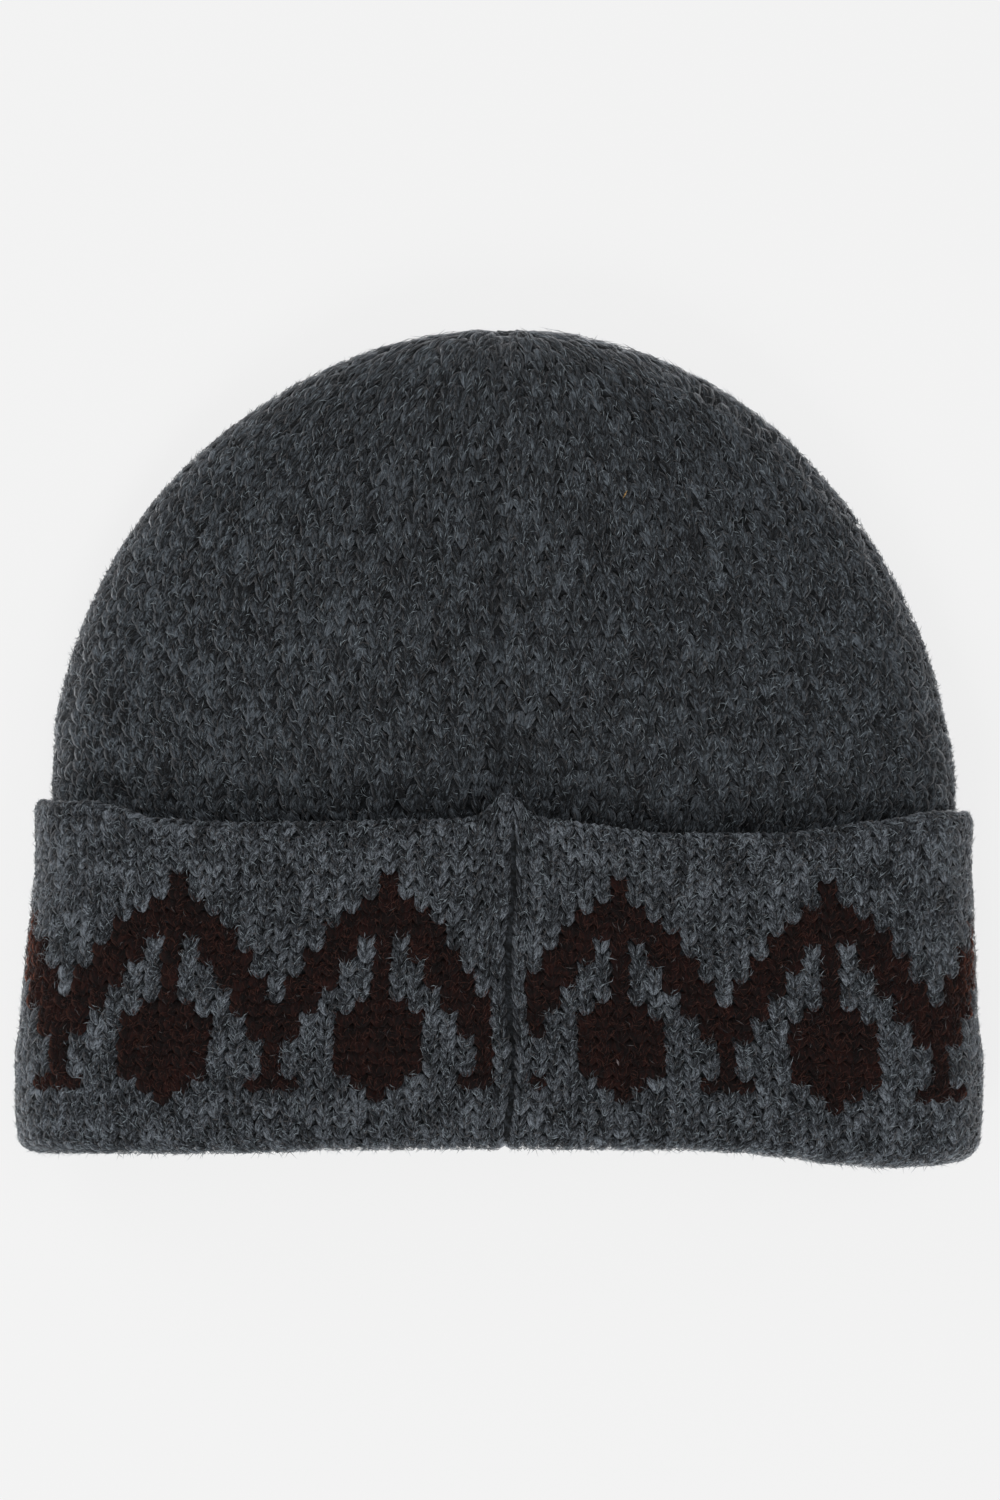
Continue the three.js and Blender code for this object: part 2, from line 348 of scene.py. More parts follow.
    def section_point(
        self, section: dict[str, np.ndarray], angle: np.ndarray, depth: np.ndarray, y: np.ndarray
    ) -> np.ndarray:
        """Points of a flattened section.

        Args:
            section: its half width, top, lift, edge, bottom, narrowing and fullness.
            angle: the angle round it, from the right-hand fold.
            depth: how far below the outer face.
            y: the height of the point.

        Returns:
            The points, with x, y and z in the last axis.
        """
        across = np.cos(angle)
        puff = np.maximum(1.0 - np.abs(across) ** self.side_roundness, 0.0) ** (1.0 / self.top_roundness)
        puff = puff * section["fullness"]
        x = self.centre_x(y) + across * (section["half_width"] - depth) * section["narrowing"]
        sunk = self.dip(across * section["narrowing"], y) - section["lift"]
        rise = section["top"] - section["edge"] - depth - sunk
        drop = section["edge"] - section["bottom"] - depth
        above = section["edge"] + puff * rise
        below = section["edge"] - np.minimum(1.0, self.rest_flatness * puff) * drop
        z = np.where(np.sin(angle) >= 0, above, below)
        return np.stack(np.broadcast_arrays(x, y, z), axis=-1)

    def cuff_section(self, y: np.ndarray) -> dict[str, np.ndarray]:
        """Gives the cuff's section.

        Args:
            y: the height.

        Returns:
            The section's values.
        """
        up = (y - self.lowest_y) / self.cuff_height
        flare = self.cuff_sides.at(up)
        return {
            "half_width": (self.cuff_top_width + (self.cuff_width - self.cuff_top_width) * flare) / 2,
            "top": self.mouth_hollow + 4 * self.fabric + 2 * self.layer_gap,
            "lift": self.cuff_lift * smooth_step(self.lift_start_share, 1.0, up),
            "edge": self.inner_depth + self.fabric + self.edge_share * self.mouth_hollow,
            "bottom": 0.0,
            "narrowing": 1.0,
            "fullness": 1.0,
        }

    def crown_section(self, y: np.ndarray, closing: float) -> dict[str, np.ndarray]:
        """Gives the crown's section.

        Args:
            y: the height.
            closing: how far up the dome, from 0 where it begins to 1 at its top.

        Returns:
            The section's values.
        """
        base, rise = self.cuff_line_y, self.crown_rise
        nested = self.cuff_section(np.minimum(y, base))
        settled = smooth_step(base, base + self.settle_share * rise, y)
        drooped = smooth_step(base + self.droop_start_share * rise, base + self.droop_end_share * rise, y)
        crown_top = self.crown_hollow + 2 * self.fabric
        crown_edge = self.fabric + self.edge_share * self.crown_hollow
        band_width = nested["half_width"] - self.inner_depth
        nested_top = nested["top"]
        sine = closing ** (self.dome_roundness / 2)
        return {
            "half_width": self.cuff_top_width / 2 - self.inner_depth if closing > 0 else band_width,
            "top": nested_top - self.inner_depth + (crown_top - nested_top + self.inner_depth) * settled,
            "lift": 0.0,
            "edge": nested["edge"] + (crown_edge - nested["edge"]) * settled,
            "bottom": self.inner_depth * (1 - drooped),
            "narrowing": (1 - closing**self.dome_roundness) ** (1 / self.dome_roundness),
            "fullness": (1 - sine**self.side_roundness) ** (1 / self.top_roundness),
        }


@dataclass
class Sheet:
    """A fabric sheet as a grid of points: rows up the hat, columns evenly spaced round it.

    Attributes:
        outer: the outer face, rows by columns by three.
        inner: the same places, SHEET_INSET below it.
        first_row: the knitted row that the grid starts at.
        rows_per_step: knitted rows from one grid row to the next.
        girth: the way round each grid row.
    """

    outer: np.ndarray
    inner: np.ndarray
    first_row: float
    rows_per_step: float
    girth: np.ndarray = field(init=False)

    def __post_init__(self) -> None:
        """Measures the way round each row."""
        run = np.roll(self.outer, -1, axis=1) - self.outer
        self.girth = np.linalg.norm(run, axis=2).sum(axis=1)

    def grid_row(self, row: np.ndarray) -> np.ndarray:
        """The grid row that a knitted row lies on, held inside the grid."""
        place = (np.asarray(row, float) - self.first_row) / self.rows_per_step
        return np.clip(place, 0.0, len(self.outer) - 1.001)

    def girth_at(self, row: np.ndarray) -> np.ndarray:
        """The way round the sheet at a knitted row."""
        return np.interp(self.grid_row(row), np.arange(len(self.girth)), self.girth)

    def at(self, around: np.ndarray, row: np.ndarray, depth: np.ndarray) -> np.ndarray:
        """Finds points of the sheet.

        Args:
            around: the place round the hat.
            row: the knitted row.
            depth: how far below the outer face.

        Returns:
            The points, with x, y and z in the last axis.
        """
        columns = self.outer.shape[1]
        place = self.grid_row(row)
        low = np.floor(place).astype(int)
        up = (place - low)[..., None]
        turn = np.mod(around, 1.0) * columns
        left = np.floor(turn).astype(int) % columns
        right = (left + 1) % columns
        aside = (turn - np.floor(turn))[..., None]
        faces = []
        for grid in (self.outer, self.inner):
            lower = grid[low, left] * (1 - aside) + grid[low, right] * aside
            upper = grid[low + 1, left] * (1 - aside) + grid[low + 1, right] * aside
            faces.append(lower * (1 - up) + upper * up)
        share = (np.asarray(depth, float) / SHEET_INSET)[..., None]
        return faces[0] + (faces[1] - faces[0]) * share

    def facing(self, around: np.ndarray, row: np.ndarray) -> np.ndarray:
        """Finds the way that the outer face looks.

        Args:
            around: the place round the hat.
            row: the knitted row.

        Returns:
            Unit vectors.
        """
        none = np.zeros(np.shape(around))
        out = self.at(around, row, none) - self.at(around, row, none + SHEET_INSET)
        return out / np.maximum(np.linalg.norm(out, axis=-1, keepdims=True), TINY)


def even_rings(
    section_at: Callable[[float, np.ndarray, float], np.ndarray], places: Iterable[float]
) -> tuple[np.ndarray, np.ndarray]:
    """Lays out rings of points with their columns evenly spaced.

    Args:
        section_at: gives a section's points for its place, the angles round it and a depth.
        places: the place of each ring.

    Returns:
        The rings on the outer face and the rings below them.
    """
    outer, inner = [], []
    for place in places:
        outline = section_at(place, SECTION_ANGLES, 0.0)
        steps = np.linalg.norm(np.diff(outline, axis=0), axis=1)
        walked = np.concatenate([[0.0], np.cumsum(steps)])
        wanted = np.linspace(0, walked[-1], SHEET_COLUMNS, endpoint=False)
        angles = np.interp(wanted, walked, SECTION_ANGLES)
        outer.append(section_at(place, angles, 0.0))
        inner.append(section_at(place, angles, SHEET_INSET))
    return np.array(outer), np.array(inner)


@dataclass
class KnitLayer:
    """A sheet of fabric with its own stitches: where a column and a row of the knitting lie.

    Attributes:
        form: the hat's sizes.
        face_depth: how far below the solid's face the middle of the yarn lies.
        base_depth: how far below it the backing fabric lies.
        seam_depth: how deep the seam's furrow is.
        seam_reach: how wide it is.
        seam_parting: how far the seam pushes the stitches beside it apart.
        parting_reach: how many stitches to each side it pushes.
        wale: width of a stitch.
        course: height of a row.
        sheet: the grid of points.
    """

    form: HatForm
    face_depth: float
    base_depth: float
    seam_depth: float
    seam_reach: float
    seam_parting: float
    parting_reach: float = 2.5
    wale: float = 4.34
    course: float = 3.12
    sheet: Sheet = field(init=False)

    def __post_init__(self) -> None:
        """Lays out the sheet."""
        self.sheet = self.make_sheet()

    def make_sheet(self) -> Sheet:
        """Lays out the grid of points. Each layer has its own."""
        raise NotImplementedError

    def stitches_in(self, row: int) -> int:
        """Stitches in a row."""
        raise NotImplementedError

    def around(self, column: np.ndarray, row: np.ndarray, home_row: np.ndarray) -> np.ndarray:
        """The place round the hat of a column, in a row, of a stitch of the home row."""
        raise NotImplementedError

    def column_at(self, around: np.ndarray, row: np.ndarray) -> np.ndarray:
        """The column that lies at a place round the hat."""
        raise NotImplementedError

    def seam_aside(self, around: np.ndarray, row: np.ndarray) -> np.ndarray:
        """How far a place lies from the seam, with a sign."""
        return both_ways(around) * self.sheet.girth_at(row)

    def relief(self, around: np.ndarray, row: np.ndarray) -> np.ndarray:
        """How far the seam sinks the fabric at a place."""
        return self.seam_depth * bell(self.seam_aside(around, row), self.seam_reach)

    def parted(self, home_column: np.ndarray, row: np.ndarray) -> np.ndarray:
        """Parts the stitches beside the seam.

        Args:
            home_column: the column that the stitch belongs to.
            row: the row.

        Returns:
            How far round the hat it moves away from the seam.
        """
        total = self.stitches_in(0)
        aside = np.mod(home_column + 0.5 + total / 2, total) - total / 2
        push = self.seam_parting * np.sign(aside) * bell(aside, self.parting_reach)
        return push / self.sheet.girth_at(row)

    def points(
        self,
        column: np.ndarray,
        row: np.ndarray,
        height: np.ndarray,
        home_column: np.ndarray,
        home_row: np.ndarray,
    ) -> np.ndarray:
        """Finds points of the yarn.

        Args:
            column: the column, in stitches from the seam.
            row: the row.
            height: how far above the middle of the yarn.
            home_column: the column that the stitch belongs to.
            home_row: the row that it belongs to.

        Returns:
            The points, with x, y and z in the last axis.
        """
        around = self.around(column, row, home_row) + self.parted(home_column, row)
        depth = self.face_depth - height + self.relief(around, row)
        return self.sheet.at(around, row, depth)


@dataclass
class CuffLayer(KnitLayer):
    """The turned-up hem: a lip inside the mouth, the fold, the outer face and its rolled top edge.

    Attributes:
        columns: stitches in a row.
        fold_rows: rows in a quarter of the fold at the mouth.
        face_rows: rows up the outer face.
        pattern_row: the lowest row of the pattern.
        lip_rows: rows of the lip inside the mouth.
        roll_radius: how round the top edge is.
        edge_rise: how far the top edge stands off the crown.
        edge_rise_rows: how many rows it takes to rise.
        edge_lift: how much higher the top edge is than the solid's.
        corners: between which shares of the half width it turns to its height at the side folds.
        corner_lifts: how much higher still it is at the left and the right fold.
        edge_peak: how much higher it is where the seam crosses it.
        peak_reach: how wide that peak is.
        column_shares: shares of the columns, from the seam to the far side.
        turn_shares: the place round the hat that each lies at.
        steps_per_row: grid rows to a knitted row.
        seam_offset: how far the pattern lies to the right of the hat's middle.
        seam_line: how far the seam does, by the share of the cuff's height.
        seam_pull: how far to each side the knitting follows the seam's line.
        opening: the rows between which the seam opens above the fold.
        closing: the rows between which it closes under the top edge.
        closed: how much it closes there.
    """

    face_depth: float = 1.35
    base_depth: float = 1.4
    seam_depth: float = 1.7
    seam_reach: float = 0.95
    seam_parting: float = 0.5
    columns: int = 110
    fold_rows: float = 2.3
    face_rows: float = 25.0
    pattern_row: int = 5
    lip_rows: float = 2.4
    roll_radius: float = 3.0
    edge_rise: float = 1.7
    edge_rise_rows: float = 5.0
    edge_lift: float = 1.6
    corners: Pair = (0.86, 0.97)
    corner_lifts: Pair = (-1.3, 0.4)
    edge_peak: float = 1.5
    peak_reach: float = 4.5
    column_shares: tuple[float, ...] = (0.0, 0.12, 0.2, 0.232, 0.259, 0.29, 0.5)
    turn_shares: tuple[float, ...] = (0.0, 0.1145, 0.1935, 0.2245, 0.25, 0.281, 0.5)
    steps_per_row: int = 8
    seam_offset: float = 2.3
    seam_line: Course = Course(
        (0.0, 0.1, 0.2, 0.3, 0.4, 0.5, 0.6, 0.75, 1.0), (1.3, 2.1, 3.2, 3.8, 2.8, 2.1, 1.9, 2.8, 2.5)
    )
    seam_pull: float = 12.0
    opening: Pair = (0.5, 3.0)
    closing: Pair = (23.0, 26.0)
    closed: float = 0.9

    @property
    def top_row(self) -> float:
        """The row at the top edge, without its roll."""
        return self.fold_rows + self.face_rows

    @property
    def roll_rows(self) -> float:
        """Rows in the roll."""
        return self.roll_radius / self.course

    @property
    def last_row(self) -> float:
        """The row where the roll ends."""
        return self.top_row - self.roll_rows + self.roll_rows * math.pi / 2

    def place(self, row: float, inset: float) -> Triple:
        """Finds where a row lies on the cuff's profile.

        Args:
            row: the knitted row, 0 at the bottom of the fold.
            inset: how far below the outer face.

        Returns:
            The share up the face, the shift beyond it, and the depth.
        """
        radius = self.form.fold_radius
        lip_start = -self.fold_rows
        roll_start = self.top_row - self.roll_rows
        if row > roll_start:
            angle = (row - roll_start) / self.roll_rows
            reach = self.roll_radius - inset
            shift = reach * math.sin(angle) - self.roll_radius
            return 1.0, shift, self.roll_radius - reach * math.cos(angle)
        if row >= self.fold_rows:
            return (row - self.fold_rows) / self.face_rows, 0.0, inset
        if row >= lip_start:
            angle = (1 - row / self.fold_rows) * math.pi / 2
            reach = radius - inset
            return 0.0, -reach * math.sin(angle), radius - reach * math.cos(angle)
        return 0.0, (lip_start - row) / self.lip_rows * self.form.lip_height, 2 * radius - inset

    def section_at(self, row: float, angle: np.ndarray, inset: float) -> np.ndarray:
        """Finds the points of one row's section.

        Args:
            row: the knitted row.
            angle: the angles round the section.
            inset: how far below the outer face.

        Returns:
            The points.
        """
        form = self.form
        share, shift, depth = self.place(row, inset)
        across, up = np.cos(angle), np.sin(angle)
        fold = form.hem_y(across) + form.fold_radius
        aside = across * form.cuff_top_width / 2 - self.seam_line.values[-1]
        edge = form.cuff_top_y(across, up > 0) + self.edge_peak * bell(aside, self.peak_reach) * (up > 0)
        corner = np.where(across < 0, *self.corner_lifts) * smooth_step(*self.corners, np.abs(across))
        edge = edge + self.edge_lift + corner
        y = fold + (edge - fold) * share + shift
        points = form.section_point(form.cuff_section(y), angle, depth, y)
        lifted = self.edge_rise * smooth_step(self.top_row - self.edge_rise_rows, self.top_row, row)
        points[..., 2] += lifted * np.maximum(up, 0.0) ** 0.5
        return points

    def make_sheet(self) -> Sheet:
        """Lays out the cuff from its lip to its top edge.

        Returns:
            The sheet.
        """
        first = -self.fold_rows - self.lip_rows
        rows = np.linspace(first, self.last_row, round((self.last_row - first) * self.steps_per_row))
        return Sheet(*even_rings(self.section_at, rows), first, rows[1] - rows[0])

    def stitches_in(self, row: int) -> int:
        """Stitches in a row."""
        return self.columns

    def seam_x(self, row: np.ndarray) -> np.ndarray:
        """How far the seam lies to the right of the hat's middle."""
        return self.seam_line.at(np.clip(row / self.top_row, 0.0, 1.0))

    def drift(self, aside: np.ndarray, row: np.ndarray) -> np.ndarray:
        """How far the knitting lies to the right: the pattern by a little, the seam by its own line."""
        return self.seam_offset + (self.seam_x(row) - self.seam_offset) * bell(aside, self.seam_pull)

    def around(self, column: np.ndarray, row: np.ndarray, home_row: np.ndarray) -> np.ndarray:
        """Finds the place round the hat of a column.

        Args:
            column: the column.
            row: the row.
            home_row: the row of its stitch, which tells nothing here, since all rows are as long.

        Returns:
            The place.
        """
        share = both_ways(np.asarray(column, float) / self.columns)
        turn = np.sign(share) * np.interp(np.abs(share), self.column_shares, self.turn_shares)
        girth = self.sheet.girth_at(row)
        return turn + self.drift(turn * girth, row) / girth

    def column_at(self, around: np.ndarray, row: np.ndarray) -> np.ndarray:
        """Finds the column at a place round the hat.

        Args:
            around: the place.
            row: the row.

        Returns:
            The column, with its share of a stitch.
        """
        turn = both_ways(around - self.seam_offset / self.sheet.girth_at(row))
        share = np.sign(turn) * np.interp(np.abs(turn), self.turn_shares, self.column_shares)
        return np.mod(share, 1.0) * self.columns

    def seam_aside(self, around: np.ndarray, row: np.ndarray) -> np.ndarray:
        """How far a place lies from the seam, with a sign."""
        return super().seam_aside(around, row) - self.seam_x(row)

    def openness(self, row: np.ndarray) -> np.ndarray:
        """How open the seam is at a row. It closes at the fold and at the top edge."""
        return smooth_step(*self.opening, row) * (1 - self.closed * smooth_step(*self.closing, row))

    def parted(self, home_column: np.ndarray, row: np.ndarray) -> np.ndarray:
        """How far round a stitch moves away from the seam."""
        return super().parted(home_column, row) * self.openness(row)

    def relief(self, around: np.ndarray, row: np.ndarray) -> np.ndarray:
        """How far the seam sinks the fabric at a place, less at the fold and the top edge."""
        return super().relief(around, row) * self.openness(row)

    def yarn_at(self, column: int, row: int) -> Yarn:
        """Reads the yarn of a stitch from the chart.

        Args:
            column: the column, 0 just right of the seam.
            row: the row, 0 at the fold.

        Returns:
            The yarn.
        """
        chart_row = len(PATTERN_CHART) - 1 - (row - self.pattern_row)
        if not 0 <= chart_row < len(PATTERN_CHART) or column in (0, self.columns - 1):
            return Yarn.GROUND
        line = PATTERN_CHART[chart_row]
        return Yarn(line[(column - 1) % len(line)])


@dataclass
class CrownLayer(KnitLayer):
    """The hollow bag: columns run straight up from the band and fewer of them reach the top.

    Attributes:
        start_y: the height of row 0, under the cuff's top edge.
        last_row: the row at the top.
        steps_per_row: grid rows to a knitted row.
        gathering: how closely the width of a stitch follows the dome's narrowing.
        tightest: how narrow a stitch gets before two are knitted together.
        top_share: the last share of the dome, laid out more finely.
        top_gap: the share below its very top where the levels end.
        last_closing: how far up the dome its last ring lies.
        rows_past: how far the sheet goes on past the top row.
        least_girth: the smallest share of its girth that a stitch's width follows.
        tuck_depth: how far the fabric dips where it enters the cuff.
        tuck_reach: how far above the cuff that dip fades.
        tuck_sides: the places round the hat between which it ends, on both sides.
        crease_depth: depth of the fold along the upper right of the outline.
        crease_place: where it lies, as a share of the dome's shape.
        crease_width: how wide it is, as such a share.
        crease_starts: the shares of the dome's height between which it begins.
        crease_ends: those between which it ends.
        sway: how far the dome leans to the left, by its height.
    """

    face_depth: float = 1.1
    base_depth: float = 0.85
    seam_depth: float = 1.9
    seam_reach: float = 2.4
    seam_parting: float = 0.0
    start_y: float = -34.0
    last_row: int = 0
    steps_per_row: int = 6
    gathering: float = 0.55
    tightest: float = 0.72
    top_share: float = 0.1
    top_gap: float = 0.0002
    last_closing: float = 0.9999
    rows_past: float = 0.3
    least_girth: float = 0.02
    tuck_depth: float = 1.9
    tuck_reach: float = 2.7
    tuck_sides: Pair = (0.2, 0.24)
    crease_depth: float = 2.7
    crease_place: float = 0.96
    crease_width: float = 0.02
    crease_starts: Pair = (0.3, 0.42)
    crease_ends: Pair = (0.86, 0.95)
    sway: Course = Course((-4.0, 8.0, 60.0, 90.0), (0.0, -0.9, -1.2, 0.0))

    def level_closing(self, y: float) -> float:
        """How far up the dome a level lies."""
        return max(0.0, (y - self.form.dome_start_y) / self.form.dome_rise)

    def section_at(self, level: float, angle: np.ndarray, inset: float) -> np.ndarray:
        """Finds the points of one level's section.

        Args:
            level: the height of its middle.
            angle: the angles round it.
            inset: how far below the outer face.

        Returns:
            The points.
        """
        form = self.form
        closing = min(self.level_closing(level), self.last_closing)
        if closing > 0:
            y = np.full(angle.shape, form.dome_start_y + (form.dome_rise - inset) * closing)
        else:
            share = (form.dome_start_y - level) / (form.dome_start_y - form.rim_y(np.array(0.0)))
            y = form.dome_start_y + (form.rim_y(np.cos(angle)) - form.dome_start_y) * share
        return form.section_point(form.crown_section(y, closing), angle, inset, y)

    def make_sheet(self) -> Sheet:
        """Lays out the crown from its rim inside the cuff to the top, by the way up its middle.

        Returns:
            The sheet.
        """
        form = self.form
        band = np.linspace(float(form.rim_y(np.array(0.0))), form.dome_start_y, 200)[:-1]
        side = np.linspace(0, 1 - self.top_share, 300)
        closing = np.concatenate([side, 1 - np.geomspace(self.top_share, self.top_gap, 200)])
        levels = np.concatenate([band, form.dome_start_y + form.dome_rise * closing])
        middle = []
        for level in levels:
            section = form.crown_section(np.array(level), self.level_closing(level))
            middle.append(form.section_point(section, np.array(np.pi / 2), 0.0, np.array(level)))
        steps = np.linalg.norm(np.diff(np.array(middle), axis=0), axis=1)
        walked = np.concatenate([[0.0], np.cumsum(steps)])
        start = np.interp(self.start_y, levels, walked)
        self.last_row = int((walked[-1] - start) / self.course)
        first = -math.floor(start / self.course * self.steps_per_row) / self.steps_per_row
        rows = np.arange(first, self.last_row + self.rows_past, 1 / self.steps_per_row)
        faces = even_rings(self.section_at, np.interp(start + rows * self.course, walked, levels))
        for face in faces:
            face[..., 0] += self.sway.at(face[..., 1])
        return Sheet(*faces, rows[0], 1 / self.steps_per_row)

    def squeeze(self, row: np.ndarray) -> np.ndarray:
        """How far the dome has gathered the fabric at a row, 1 where it hasn't."""
        narrowing = self.sheet.girth_at(row) / self.sheet.girth_at(0.0)
        return np.clip(narrowing, self.least_girth, 1.0) ** self.gathering

    def pitch(self, row: np.ndarray, home_row: np.ndarray) -> np.ndarray:
        """Width of a stitch of the home row. It narrows with the dome, and each decrease widens it."""
        decreases = np.floor(np.log(self.squeeze(home_row)) / np.log(self.tightest) + 1e-9)
        return self.wale * self.squeeze(row) / self.tightest**decreases

    def stitches_in(self, row: int) -> int:
        """Stitches in a row, an even number so that both sides of the seam have as many."""
        return 2 * int(self.sheet.girth_at(float(row)) / 2 / self.pitch(float(row), float(row)) + 0.5)

    def around(self, column: np.ndarray, row: np.ndarray, home_row: np.ndarray) -> np.ndarray:
        """The place round the hat of a column, counted both ways from the seam."""
        return np.asarray(column, float) * self.pitch(row, home_row) / self.sheet.girth_at(row)

    def column_at(self, around: np.ndarray, row: np.ndarray) -> np.ndarray:
        """The column that lies at a place round the hat."""
        return both_ways(around) * self.sheet.girth_at(row) / self.pitch(row, np.round(row))

    def relief(self, around: np.ndarray, row: np.ndarray) -> np.ndarray:
        """Adds the tuck above the cuff and the crease to the seam's furrow.

        Args:
            around: the place round the hat.
            row: the row.

        Returns:
            How far they sink the fabric there.
        """
        form = self.form
        place = self.sheet.at(around, row, np.zeros(np.shape(around)))
        x, y = place[..., 0], place[..., 1]
        aside = np.abs(both_ways(around))
        upper = 1 - smooth_step(*self.tuck_sides, aside)
        across = np.clip(x / (form.cuff_top_width / 2), -1.0, 1.0)
        above = np.maximum(y - form.cuff_top_y(across, np.zeros(across.shape)), 0.0)
        sunk = super().relief(around, row) + self.tuck_depth * upper * bell(above, self.tuck_reach)
        side = np.abs(x - form.crown_shift) / (form.cuff_top_width / 2 - form.inner_depth)
        rise = np.maximum(y - form.dome_start_y, 0.0) / form.dome_rise
        dome = side**form.dome_roundness + rise**form.dome_roundness
        reach = smooth_step(*self.crease_starts, rise) * (1 - smooth_step(*self.crease_ends, rise))
        reach = reach * (x > 0) * (aside < SIDE_FOLD)
        return sunk + self.crease_depth * reach * bell(dome - self.crease_place, self.crease_width)


@dataclass(frozen=True)
class Grain:
    """A noise drawn out along the yarn.

    Attributes:
        scale: how many streaks along, across and from yarn to yarn.
        slant: how far they slant across the yarn, as its twist does, in radians.
        curl: how curly they are.
    """

    scale: Triple
    slant: float
    curl: float


PLY = Grain((2.4, 3.8, 57.0), 0.5, 0.6)
LOOSE_WOOL = Grain((6.5, 4.4, 91.0), -0.8, 1.2)
PATCHES = Grain((150.0, 150.0, 80.0), 0.0, 0.6)
# Tones at which a yarn shows its deep, its own and its pale colour.
TONES = (0.415, 0.5, 0.615)
# How suddenly the fuzz's halo grows where the fabric turns away.
HALO_STEEPNESS = 7.0


@dataclass(frozen=True)
class Wiring:
    """Adds nodes to a material and joins them.

    Attributes:
        tree: the material's nodes.
    """

    tree: bpy.types.NodeTree

    def fill(
        self, node: bpy.types.Node, inputs: dict[str | int, Socket | float | tuple]
    ) -> bpy.types.Node:
        """Fills a node's inputs.

        Args:
            node: the node.
            inputs: for each of them, the output that feeds it or its own value.

        Returns:
            The node.
        """
        for name, value in inputs.items():
            if isinstance(value, Socket):
                self.tree.links.new(value, node.inputs[name])
            else:
                node.inputs[name].default_value = value
        return node

    def attribute(self, name: str) -> Socket:
        """Reads a value that the mesh holds at each point.

        Args:
            name: the value's name.

        Returns:
            The value.
        """
        node = self.tree.nodes.new("ShaderNodeAttribute")
        node.attribute_name = name
        return node.outputs["Vector"]

    def sums(self, operation: str, *values: Socket | float) -> bpy.types.Node:
        """Works out a number from others.

        Args:
            operation: what is done with them.
            values: the numbers, as outputs or values.

        Returns:
            The node.
        """
        node = self.tree.nodes.new("ShaderNodeMath")
        node.operation = operation
        return self.fill(node, dict(enumerate(values)))

    def noise(self, place: Socket, grain: Grain) -> Socket:
        """Adds a stretched noise.

        Args:
            place: where it is read.
            grain: how it is drawn out.

        Returns:
            Its value from 0 to 1.
        """
        turn = self.tree.nodes.new("ShaderNodeMapping")
        turn.vector_type = "POINT"
        self.fill(turn, {"Vector": place, "Rotation": (0.0, 0.0, grain.slant), "Scale": grain.scale})
        noise = self.tree.nodes.new("ShaderNodeTexNoise")
        shape = {"Scale": 1.0, "Detail": 3.0, "Roughness": 0.6, "Distortion": grain.curl}
        self.fill(noise, {"Vector": turn.outputs["Vector"], **shape})
        return noise.outputs["Fac"]

    def shifted(self, value: Socket, by: Socket, amount: float) -> Socket:
        """Raises or lowers a value by another one's distance from its middle.

        Args:
            value: the value.
            by: what shifts it, from 0 to 1.
            amount: how far, from end to end.

        Returns:
            The shifted value.
        """
        shift = self.sums("MULTIPLY_ADD", by, amount, -amount / 2)
        return self.sums("ADD", value, shift.outputs["Value"]).outputs["Value"]


